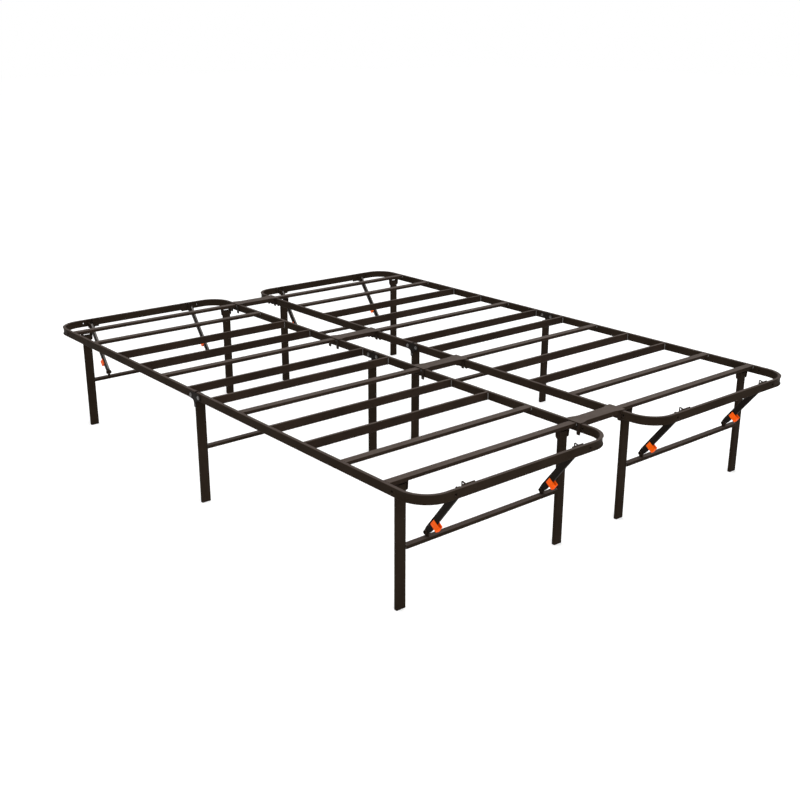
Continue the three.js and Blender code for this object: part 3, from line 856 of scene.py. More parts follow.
@dataclass
class DeckRail:
    """U-bent rectangular tube of a half deck, with its brace brackets, stop studs and weld beads."""

    layout: Layout
    bend_radius: float = 82.0
    bend_steps: int = 30
    beside_bend: tuple[float, ...] = (-28.0, -20.0, -15.0, -10.0, -5.0)
    first_step: float = 60.0
    fade_from: float = 20.0
    fade_long: float = 32.0
    corner: float = 2.2
    wall: float = 1.5
    dish: float = 3.0
    dish_half: float = 11.4
    pinch: float = 1.4
    fold_share: float = 0.3
    fold_count: int = 11
    end_gap: float = 8.5
    hole_from_end: float = 109.0
    hole_from_side: float = 104.5
    hole_radius: float = 4.0
    hole_clear: float = 8.0
    hole_reach: float = 9.0
    cup: float = 46.0
    stud_from_pin: float = 17.0
    stud: tuple[float, float] = (2.5, 1.5)
    ear_plate: float = 2.5
    ear_radius: float = 7.0
    ear_drop: float = 10.0
    low_ear_round: float = 4.0
    tall_ear_round: float = 3.0
    overlap: float = 0.5
    spacer: float = 2.9
    flange_long: float = 26.0
    plate_below: float = 4.0
    plate_rise: float = 1.5
    plate_round: float = 1.8
    rest_inset: float = 6.0
    rest_round: float = 2.0
    peak_from_rail: float = 14.0
    peak_rise: float = 2.0
    tall_wide: float = 18.5
    loop_from_pin: float = 5.0
    loop_drop: float = 4.6
    loop_round: float = 1.6
    loop_back: float = 2.2
    loop_front: float = 5.4
    loop_top: float = 1.9
    loop_reach: float = 8.0
    pin_radius: float = 3.0
    spacer_radius: float = 4.5
    pin_head: tuple[float, float] = (4.5, 2.0)
    flange_head: tuple[float, float] = (3.6, 1.8)
    bead_half: float = 8.0
    bead: float = 1.2

    def start(self, end: End) -> float:
        """Where the tube begins at the hinge, with the end turned to face +X."""
        return end.value * self.layout.hinge_x + self.end_gap / 2

    def course(self, start: float) -> tuple[np.ndarray, np.ndarray, np.ndarray]:
        """Middle line of the tube, its outward direction, and how far it is into a bend.

        The line is two straights along X, one along Y, and a quarter circle between each two. The last
        array is one inside a bend and falls to nought over a short way on both sides of it.

        Args:
            start: Where the line begins along X.

        Returns:
            Stations, outward directions and bend weights, one row each.
        """
        lay = self.layout
        middle = self.bend_radius - lay.rail_thick / 2
        bend_x = lay.half - self.bend_radius
        bend_y = lay.side - self.bend_radius
        angle = np.linspace(-90, 0, self.bend_steps + 1)
        beside = np.array(self.beside_bend)
        before_hole = lay.half - self.hole_from_end - self.hole_clear
        near = np.concatenate([[start, start + self.first_step, bend_x / 2, before_hole], bend_x + beside])
        line = [np.stack([near, np.full(len(near), -bend_y - middle)], axis=1)]
        out = [np.tile([0.0, -1.0], (len(near), 1))]
        line.append(arc((bend_x, -bend_y), middle, -90, 0, self.bend_steps))
        out.append(arc((0, 0), 1, -90, 0, self.bend_steps))
        half_line = np.concatenate(line)
        half_out = np.concatenate(out)
        inner = np.append(-bend_y - beside[::-1], self.hole_from_side + self.hole_clear - lay.side)
        cross = np.stack([np.full(len(inner), bend_x + middle), inner], axis=1)
        half_line = np.concatenate([half_line, cross])
        half_out = np.concatenate([half_out, np.tile([1.0, 0.0], (len(inner), 1))])
        arc_long = middle * math.pi / 2
        inside = np.radians(angle + 90) * middle
        travel = np.concatenate([near - bend_x, inside, arc_long + bend_y + inner])
        rise = smooth_step((travel + self.fade_from) / self.fade_long)
        weight = rise * smooth_step((arc_long + self.fade_from - travel) / self.fade_long)
        line_all = np.concatenate([half_line, half_line[::-1] * [1, -1]])
        out_all = np.concatenate([half_out, half_out[::-1] * [1, -1]])
        height = np.full((len(line_all), 1), lay.rail_mid)
        flat = np.zeros((len(line_all), 1))
        return (
            np.hstack([line_all, height]),
            np.hstack([out_all, flat]),
            np.concatenate([weight, weight[::-1]]),
        )

    def tube(self, start: float) -> Skin:
        """Hollow tube: its outer face is dished in each bend and its inner face pinched.

        The outer face goes in by the dish, times the bend weight and one less the fourth power of the
        height in half heights. The inner one goes in by the pinch with small folds, times the bend weight
        and the squared cosine of pi times height over the tube's height.

        Args:
            start: Where the tube begins along X.

        Returns:
            The tube's skin, with a deep open cup at each end.
        """
        lay = self.layout
        stations, outward, weight = self.course(start)
        box = rounded_box(lay.rail_thick, lay.rail_tall, self.corner, 4, 10)
        section = np.tile(box, (len(stations), 1, 1))
        crown = np.cos(math.pi * box[:, 1] / lay.rail_tall) ** 2
        hollow = np.clip(1 - np.abs(box[:, 1] / self.dish_half) ** 4, 0, 1)
        turns = np.linspace(0, 2 * math.pi * self.fold_count, len(stations))
        folds = 1 + self.fold_share * np.sin(turns)
        outer = np.where(box[:, 0] > 0, hollow, 0)
        inner = np.where(box[:, 0] < 0, crown, 0)
        section[..., 0] -= self.dish * weight[:, None] * outer
        section[..., 0] += self.pinch * (weight * folds)[:, None] * inner
        outside = carried(section, stations, outward, ALONG_Z)
        bore = rounded_box(
            lay.rail_thick - 2 * self.wall, lay.rail_tall - 2 * self.wall, self.corner - 1, 4, 10
        )
        ends = stations[[0, -1]]
        deep = ends + np.array([self.cup, 0, 0])
        mouths = carried(bore, ends, outward[[0, -1]], ALONG_Z)
        floors = carried(bore, deep, outward[[0, -1]], ALONG_Z)
        return skin_of(np.concatenate([floors[:1], mouths[:1], outside, mouths[1:], floors[1:]]))

    def bracket(self, y: float) -> list[Skin]:
        """Bracket on the end rail for a brace: plate, low ear, tall ear with a loop, pin and rivets.

        Args:
            y: Where the brace stands along Y, from the unit's middle line.

        Returns:
            The bracket's skins.
        """
        lay = self.layout
        inward = -math.copysign(1, y)
        plate = self.ear_plate
        pin = lay.brace_pin
        ear_in = lay.brace_wide / 2 + lay.slide_gap
        ear_out = ear_in + plate
        tall_in = ear_in + self.spacer
        tall_out = tall_in + plate
        wall_x = lay.half - lay.rail_thick
        plate_x = wall_x - plate
        low_z = lay.rail_low - self.plate_below
        high_z = lay.deck + self.plate_rise
        reach = tall_out + self.flange_long
        long = reach + ear_out
        middle = y + inward * (reach - ear_out) / 2
        flat = rounded_box(long, high_z - low_z, self.plate_round, 4) + [middle, (high_z + low_z) / 2]
        rest = rounded_box(long - self.rest_inset, lay.rail_tall - self.rest_inset, self.rest_round, 3)
        rest = rest + [middle, lay.rail_mid]
        low_y = y - inward * (ear_in + ear_out) / 2
        tall_y = y + inward * (tall_in + tall_out) / 2
        low_ear = slab(self.low_ear(pin, plate_x), low_y - plate / 2, low_y + plate / 2, Axis.Y)
        tall_ear = slab(self.tall_ear(pin, wall_x), tall_y - plate / 2, tall_y + plate / 2, Axis.Y)
        flange = y + inward * (tall_out + self.flange_long / 2)
        edge = lay.deck - self.overlap
        loop = slab(self.loop(pin), tall_y - self.loop_reach, tall_y + self.loop_reach, Axis.Y)
        skins = [
            slab(flat, plate_x, wall_x - lay.touch_gap, Axis.X),
            slab(rest, plate_x + self.overlap, wall_x + self.overlap, Axis.X),
            low_ear,
            carved(tall_ear, [loop]),
            rivet_head(pin, y - inward * ear_out, -inward, *self.pin_head, Axis.Y),
            rivet_head(pin, y + inward * tall_out, inward, *self.pin_head, Axis.Y),
            rivet_head((flange, lay.rail_mid), plate_x, -1, *self.flange_head, Axis.X),
            weld_bead(
                (wall_x, flange - self.bead_half, edge), (wall_x, flange + self.bead_half, edge), self.bead
            ),
        ]
        pins = (
            (-ear_out, tall_out, self.pin_radius),
            (ear_in, tall_in + self.overlap, self.spacer_radius),
        )
        for near, far, radius in pins:
            skins.append(round_pin((y + inward * near, y + inward * far), radius, pin, Axis.Y))
        return skins

    def low_ear(self, pin: tuple[float, float], plate_x: float) -> np.ndarray:
        """Outline of the bracket's low ear in X and Z, round below its pin."""
        shoulder = self.layout.deck - self.ear_drop
        turn = self.low_ear_round
        root = plate_x + self.overlap
        return np.concatenate([
            [(root, shoulder)],
            arc((pin[0] - self.ear_radius + turn, shoulder - turn), turn, 90, 180, 5),
            arc(pin, self.ear_radius, 180, 270, 8),
            [(root, pin[1] - self.ear_radius + self.overlap)],
        ])

    def tall_ear(self, pin: tuple[float, float], wall_x: float) -> np.ndarray:
        """Outline of the bracket's tall ear in X and Z: a sloping top, a round shoulder, a round foot."""
        peak = self.layout.deck + self.peak_rise
        left = wall_x - self.tall_wide
        turn = self.tall_ear_round
        root = wall_x - self.ear_plate + self.overlap
        return np.concatenate([
            [(root, self.layout.deck - 1), (wall_x - self.peak_from_rail, peak)],
            arc((left + turn, peak - turn), turn, 90, 180, 6),
            [(left, self.layout.deck - self.ear_drop)],
            arc(pin, self.ear_radius, 180, 270, 8),
            [(root, pin[1] - self.ear_radius + self.overlap)],
        ])

    def loop(self, pin: tuple[float, float]) -> np.ndarray:
        """Outline of the tall ear's hole in X and Z: a triangle with round corners, flat side down."""
        x = pin[0] + self.loop_from_pin
        z = self.layout.deck - self.loop_drop
        turn = self.loop_round
        return np.concatenate([
            arc((x - self.loop_back, z + self.loop_top), turn, 60, 180, 6),
            arc((x - self.loop_back, z - turn), turn, 180, 270, 4),
            arc((x + self.loop_front, z - turn), turn, 270, 420, 7),
        ])

    def studs(self, start: float) -> list[Skin]:
        """Small stop studs on the outer faces of the tube beside the hinge."""
        lay = self.layout
        x = start - self.end_gap / 2 + lay.hinge_half + self.stud_from_pin
        return [
            rivet_head((x, lay.rail_mid), side * lay.side, side, *self.stud, Axis.Y) for side in (-1, 1)
        ]

    def holes(self) -> list[Skin]:
        """Bores through the tube: one near each corner on the side and one on the end."""
        lay = self.layout
        x = lay.half - self.hole_from_end
        end_y = lay.side - self.hole_from_side
        tools = []
        for side in (-1, 1):
            bores = (
                (side * (lay.side - lay.rail_thick / 2), x, Axis.Y),
                (lay.half - lay.rail_thick / 2, side * end_y, Axis.X),
            )
            for middle, place, axis in bores:
                span = (middle - self.hole_reach, middle + self.hole_reach)
                tools.append(round_pin(span, self.hole_radius, (place, lay.rail_mid), axis, 20))
        return tools

    def build(self) -> None:
        """Makes the four rails and sets them in place."""
        lay = self.layout
        for end in End:
            start = self.start(end)
            tube = carved(self.tube(start), self.holes())
            brackets = [skin for side in (-1, 1) for skin in self.bracket(lay.brace_y(side))]
            mesh = shaped([tube, *brackets, *self.studs(start)], "rail")
            for unit in Unit:
                tag = f"{unit.tag}_{end.tag}"
                placed(
                    mesh, f"bent_rail_{tag}", lay.at_end(end, unit), Finish.RAIL,
                    f"{end.tag}_deck", [f"rail_{tag}"],
                )


def smooth_step(value: np.ndarray) -> np.ndarray:
    """Rises from nought to one: three times the square less twice the cube, held at both ends."""
    held = np.clip(value, 0, 1)
    return held * held * (3 - 2 * held)


# ---------------------------------------------------------------- slats


@dataclass
class Slats:
    """Twelve tubes across each unit, the end ones with hangers for the legs, and their weld beads."""

    layout: Layout
    wide: float = 25.0
    thin: float = 10.0
    corner: float = 2.0
    insets: tuple[float, ...] = (143.0, 312.0, 481.0)
    offsets: tuple[float, ...] = (374.5, 225.0, 68.0)
    upright: tuple[bool, ...] = (False, False, True, True, False, True)
    leg_wide: float = 30.0
    leg_inset: float = 39.0
    into_rail: float = 1.0
    hanger_plate: float = 2.5
    hanger_wide: float = 20.0
    hanger_round: float = 9.0
    hanger_overlap: float = 0.4
    ear_overlap: float = 1.2
    pivot_radius: float = 4.0
    pivot_head: tuple[float, float] = (6.5, 2.5)
    hanger_bead: float = 1.3
    hanger_bead_half: float = 8.0
    bead: float = 1.7
    low_bead: float = 0.85
    bead_from_rail: float = 0.6
    bead_from_side: float = 0.5

    @property
    def places(self) -> list[float]:
        """Distances of the slats from the bed's middle, from the end inwards."""
        return [self.layout.half - inset for inset in self.insets] + list(self.offsets)

    @property
    def half(self) -> float:
        """Half of a slat's length, just into the rail's rounded edge."""
        return self.layout.side - self.layout.rail_thick + self.into_rail

    def tube(self, upright: bool) -> Skin:
        """Tube along Y with its top level with the rails."""
        wide, tall = (self.thin, self.wide) if upright else (self.wide, self.thin)
        section = rounded_box(wide, tall, self.corner, 4)
        z = self.layout.deck - tall / 2
        return straight(section, (0, -self.half, z), (0, self.half, z), ALONG_X)

    def hanger(self, y: float) -> list[Skin]:
        """U-shaped hanger below an end slat: base, two ears, the pivot pin and its domed heads.

        Args:
            y: Middle of the leg along Y, from the unit's middle line.

        Returns:
            The hanger's skins.
        """
        lay = self.layout
        ear_in = self.leg_wide / 2 + lay.slide_gap
        ear_out = ear_in + self.hanger_plate
        low = lay.deck - self.thin
        half = self.hanger_wide / 2
        half_plate = self.hanger_plate / 2
        pivot = (0.0, lay.leg_pivot)
        root = low - self.ear_overlap
        outline = np.concatenate([
            [(-half, root)], arc(pivot, self.hanger_round, 180, 360, 16), [(half, root)],
        ])
        base_low = (-half, y - ear_out, low - self.hanger_plate)
        skins = [block(base_low, (half, y + ear_out, low + self.hanger_overlap))]
        reach = self.hanger_bead_half
        seam = low - self.ear_overlap / 2
        for side in (-1, 1):
            mid = y + side * (ear_in + ear_out) / 2
            skins.append(slab(outline, mid - half_plate, mid + half_plate, Axis.Y))
            skins.append(rivet_head(pivot, y + side * ear_out, side, *self.pivot_head, Axis.Y))
            rim = y + side * (ear_out + self.hanger_overlap)
            skins.append(weld_bead((-reach, rim, seam), (reach, rim, seam), self.hanger_bead))
        skins.append(round_pin((y - ear_out, y + ear_out), self.pivot_radius, pivot, Axis.Y))
        return skins

    def beads(self) -> list[Skin]:
        """Weld beads of one half deck: both sides and the underside of every slat end."""
        skins = []
        inner = self.layout.side - self.layout.rail_thick
        for x, upright in zip(self.places, self.upright):
            wide, tall = (self.thin, self.wide) if upright else (self.wide, self.thin)
            low = self.layout.deck - tall
            top = self.layout.deck - 1.6
            for side in (-1, 1):
                y = side * (inner - self.bead_from_rail)
                for edge in (-1, 1):
                    at = x + edge * (wide / 2 + self.bead_from_side)
                    phase = 0.13 * (x % 7) + 0.2 * edge
                    skins.append(weld_bead((at, y, low + 1), (at, y, top), self.bead, phase))
                reach = wide / 2 - 1.5
                under = low - 0.2
                small = self.bead * self.low_bead
                skins.append(weld_bead((x - reach, y, under), (x + reach, y, under), small))
        return skins

    def build(self) -> None:
        """Makes all the slats and weld beads and sets them in place."""
        lay = self.layout
        plain = {kind: shaped([self.tube(kind)], "slat", 0.3) for kind in (False, True)}
        leg_y = lay.side - self.leg_inset - self.leg_wide / 2
        hangers = [skin for side in (-1, 1) for skin in self.hanger(side * leg_y)]
        carrier = shaped([self.tube(False), *hangers], "leg_slat")
        beads = shaped(self.beads(), "beads", 0.0)
        for end in End:
            numbers = range(12, 6, -1) if end is End.FOOT else range(1, 7)
            for unit in Unit:
                for index, (number, x) in enumerate(zip(numbers, self.places)):
                    tag = f"{unit.tag}_{number:02d}"
                    mesh = carrier if index == 0 else plain[self.upright[index]]
                    placed(
                        mesh, f"slat_tube_{tag}", lay.at_end(end, unit, x), Finish.SLAT,
                        f"{end.tag}_deck", [f"slat_{tag}"],
                    )
                placed(
                    beads, f"slat_welds_{unit.tag}_{end.tag}", lay.at_end(end, unit), Finish.WELD,
                    f"{end.tag}_deck",
                )


# ---------------------------------------------------------------- leg frames


@dataclass
class LegFrames:
    """Two legs with a low crossbar: one under each end of a unit and one under its middle."""

    layout: Layout
    wide: float = 30.0
    thick: float = 12.0
    wall: float = 1.5
    corner: float = 2.8
    foot: float = 2.2
    inset: float = 39.0
    top_over_pivot: float = 10.0
    bar_wide: float = 20.0
    bar_corner: float = 2.0
    bar_into_leg: float = 0.8
    middle_bar: float = 177.0
    pin_hole: float = 4.2
    pin_hole_reach: float = 20.0
    lug_radius: float = 6.0
    lug_half: float = 2.0
    lug_overlap: float = 0.5
    bolt_radius: float = 3.5
    bolt_ends: float = 4.0
    bolt_edge: float = 0.7
    washer: tuple[float, float] = (6.5, 0.9)
    nut_radius: float = 6.4
    nut_edge_radius: float = 5.4
    thread: tuple[tuple[float, float], ...] = ((-1.0, 2.6), (0.6, 2.6), (1.2, 2.1))
    flat_bead: float = 1.6
    flat_bead_half: float = 5.5
    tall_bead: float = 1.5
    lug_bead: float = 1.2
    cup: float = 40.0

    def leg(self, y: float, top: float) -> Skin:
        """Upright tube with a rounded foot and an open top.

        Its section shrinks below the foot radius by the radius less the square root of the radius
        squared less the missing height squared.

        Args:
            y: Middle of the leg along Y.
            top: Height of its top.

        Returns:
            The leg's skin.
        """
        heights = self.foot - self.foot * np.sin(np.radians(np.linspace(90, 0, 6)))
        shrink = self.foot - np.sqrt(np.maximum(self.foot**2 - (self.foot - heights) ** 2, 0))
        levels = [*zip(heights, shrink), (top, 0.0), (top, self.wall), (top - self.cup, self.wall)]
        loops = []
        for height, inset in levels:
            radius = max(self.corner - inset, 0.5)
            flat = rounded_box(self.thick - 2 * inset, self.wide - 2 * inset, radius, 4)
            loops.append(np.column_stack([flat[:, 0], flat[:, 1] + y, np.full(len(flat), height)]))
        return skin_of(np.array(loops))

    def bar(self, leg_y: float, height: float) -> Skin:
        """Flat crossbar between two legs."""
        reach = leg_y - self.wide / 2 + self.bar_into_leg
        section = rounded_box(self.bar_wide, self.layout.crossbar_tall, self.bar_corner, 4)
        return straight(section, (0, -reach, height), (0, reach, height), ALONG_X)

    def bar_beads(self, leg_y: float, height: float) -> list[Skin]:
        """Weld beads round both ends of a crossbar."""
        skins = []
        tall = self.layout.crossbar_tall / 2
        reach = self.flat_bead_half
        for side in (-1, 1):
            y = side * (leg_y - self.wide / 2 - 0.5)
            for up in (-1, 1):
                z = height + up * (tall + 0.2)
                skins.append(weld_bead((-reach, y, z), (reach, y, z), self.flat_bead, 0.3 * up))
                x = up * (self.thick / 2 + 0.3)
                low = (x, y, height - tall)
                skins.append(weld_bead(low, (x, y, height + tall), self.tall_bead, 0.2 * side))
        return skins

    def stop(self, y: float) -> list[Skin]:
        """Lug on the crossbar with a cross bolt, its six-sided head, washer and nut.

        Args:
            y: Where the brace stands along Y.

        Returns:
            The skins of the lug and its bolt.
        """
        lay = self.layout
        top = lay.crossbar_height + lay.crossbar_tall / 2
        pin = (0.0, lay.stop_pin[1])
        radius = self.lug_radius
        root = top - self.lug_overlap
        outline = np.concatenate([[(-radius, root), (radius, root)], arc(pin, radius, 0, 180, 14)])
        head_in = lay.brace_wide / 2 + lay.slide_gap
        head_out = head_in + self.bolt_ends
        skins = [
            slab(outline, y - self.lug_half, y + self.lug_half, Axis.Y),
            round_pin((y - head_out, y + head_out), self.bolt_radius, pin, Axis.Y),
        ]
        disc, thick = self.washer
        for side in (-1, 1):
            inner = y + side * head_in
            outer = y + side * head_out
            step = side * self.bolt_edge
            skins.append(round_pin((inner, inner + side * thick), disc, pin, Axis.Y))
            head = [
                (inner + step, self.nut_radius), (outer - step, self.nut_radius),
                (outer, self.nut_edge_radius),
            ]
            skins.append(turned(head, pin, Axis.Y, 6))
            seam = (y + side * self.lug_half, top + 0.2)
            skins.append(weld_bead((-radius, *seam), (radius, *seam), self.lug_bead))
        tip = [(y + head_out + past, size) for past, size in self.thread]
        skins.append(turned(tip, pin, Axis.Y, 20))
        return skins

    def build(self) -> None:
        """Makes the six leg frames and sets them in place."""
        lay = self.layout
        leg_y = lay.side - self.inset - self.wide / 2
        top = lay.leg_pivot + self.top_over_pivot
        legs = []
        for y in (-leg_y, leg_y):
            span = (y - self.pin_hole_reach, y + self.pin_hole_reach)
            hole = round_pin(span, self.pin_hole, (0.0, lay.leg_pivot), Axis.Y, 20)
            legs.append(carved(self.leg(y, top), [hole]))
        stops = [skin for side in (-1, 1) for skin in self.stop(lay.brace_y(side))]
        folding = shaped([*legs, self.bar(leg_y, lay.crossbar_height), *stops], "end_legs")
        folding_beads = shaped(self.bar_beads(leg_y, lay.crossbar_height), "leg_beads", 0.0)
        for end in End:
            for unit in Unit:
                tag = f"{unit.tag}_{end.tag}"
                where = lay.at_end(end, unit, lay.end_slat)
                body = f"end_legs_{tag}"
                placed(folding, f"leg_frame_{tag}", where, Finish.RAIL, body, [body])
                placed(folding_beads, f"leg_welds_{tag}", where, Finish.WELD, body)
        mid_y = lay.side - self.wide / 2
        legs = [self.leg(y, lay.middle_leg_top) for y in (-mid_y, mid_y)]
        mid = shaped([*legs, self.bar(mid_y, self.middle_bar)], "mid_legs")
        mid_beads = shaped(self.bar_beads(mid_y, self.middle_bar), "mid_beads", 0.0)
        for unit in Unit:
            where = Matrix.Translation((lay.hinge_x, unit.value * lay.unit_centre, 0))
            placed(
                mid, f"middle_frame_{unit.tag}", where, Finish.RAIL, "mid_frames", [f"mid_legs_{unit.tag}"]
            )
            placed(mid_beads, f"middle_welds_{unit.tag}", where, Finish.WELD, "mid_frames")


# ---------------------------------------------------------------- middle hinges


@dataclass
class HingeSaddles:
    """Saddle of two plates that holds the ends of two rails on a middle leg, with its rivets."""

    layout: Layout
    radius: float = 11.0
    tab_drop: float = 18.0
    tab_flare: float = 6.0
    tab_half: float = 6.0
    tab_round: float = 2.0
    web_inset: float = 0.2
    strap_inset: float = 0.05
    rivet_radius: float = 3.5
    head_radius: float = 6.0
    head_tall: float = 2.0
    tab_rivet_drop: float = 11.0
    tab_rivet: float = 4.2

    @property
    def plate_in(self) -> float:
        """Distance of a plate's inner face from the rail's middle line."""
        return self.layout.rail_thick / 2 + self.layout.touch_gap

    @property
    def plate_out(self) -> float:
        """Distance of a plate's outer face from the rail's middle line."""
        return self.plate_in + self.layout.saddle_plate

    def outer_outline(self) -> np.ndarray:
        """Outline of the outer plate: two round wings above a tab, with a hollow curve between them.

        Each hollow curve is a quadratic from the tab's side to the wing's underside.

        Returns:
            Points in X and Z.
        """
        lay = self.layout
        wing = lay.hinge_half
        low = lay.rail_mid - self.radius
        bottom = lay.middle_leg_top - self.tab_drop
        turn = self.tab_round
        part = np.linspace(0, 1, 8)[:, None]
        side = np.array([self.tab_half, lay.middle_leg_top - self.tab_flare])
        bend = np.array([self.tab_half, low])
        far = np.array([wing, low])
        flare = (1 - part) ** 2 * side + 2 * part * (1 - part) * bend + part**2 * far
        right = np.concatenate([
            arc((self.tab_half - turn, bottom + turn), turn, -90, 0, 4),
            flare[:-1],
            arc((wing, lay.rail_mid), self.radius, -90, 90, 18),
        ])
        return np.concatenate([right, right[::-1] * [-1, 1]])

    def inner_outline(self) -> np.ndarray:
        """Outline of the inner plate: a long round-ended strip."""
        lay = self.layout
        right = arc((lay.hinge_half, lay.rail_mid), self.radius, -90, 90, 18)
        return np.concatenate([right, right[::-1] * [-1, 1]])

    def skins(self) -> list[Skin]:
        """Plates and the web between them, built with the outer plate towards -Y."""
        lay = self.layout
        near, far = self.plate_in, self.plate_out
        half = self.tab_half
        low = lay.saddle_web - lay.saddle_plate
        reach = far - self.web_inset
        inset = self.strap_inset
        return [
            slab(self.outer_outline(), -far, -near, Axis.Y),
            slab(self.inner_outline(), near, far, Axis.Y),
            block((-half, -reach, low), (half, reach, lay.saddle_web)),
            block((-half, near + inset, low), (half, far - inset, lay.rail_mid)),
        ]

    def rivets(self) -> list[Skin]:
        """The two pivot rivets and their heads, and the head of the rivet through the tab."""
        lay = self.layout
        out = self.plate_out
        skins = []
        for x in (-lay.hinge_half, lay.hinge_half):
            centre = (x, lay.rail_mid)
            skins.append(round_pin((-out, out), self.rivet_radius, centre, Axis.Y))
            for side in (-1, 1):
                head = rivet_head(centre, side * out, side, self.head_radius, self.head_tall, Axis.Y)
                skins.append(head)
        tab = (0.0, lay.middle_leg_top - self.tab_rivet_drop)
        skins.append(rivet_head(tab, -out, -1, self.tab_rivet, self.head_tall, Axis.Y))
        return skins

    def build(self) -> None:
        """Makes the four saddles and sets them in place."""
        lay = self.layout
        plates = shaped(self.skins(), "saddle")
        rivets = shaped(self.rivets(), "rivets", 0.2)
        rail_line = lay.side - lay.rail_thick / 2
        for unit in Unit:
            for side in (-1, 1):
                tag = f"{unit.tag}_{'outer' if side == unit.value else 'inner'}"
                y = unit.value * lay.unit_centre + side * rail_line
                turn = Matrix.Rotation(0 if side < 0 else math.pi, 4, "Z")
                where = Matrix.Translation((lay.hinge_x, y, 0)) @ turn
                placed(plates, f"hinge_saddle_{tag}", where, Finish.DARK, "mid_frames", [f"hinge_{tag}"])
                placed(rivets, f"hinge_rivets_{tag}", where, Finish.RIVET, "mid_frames")


# ---------------------------------------------------------------- braces and clips


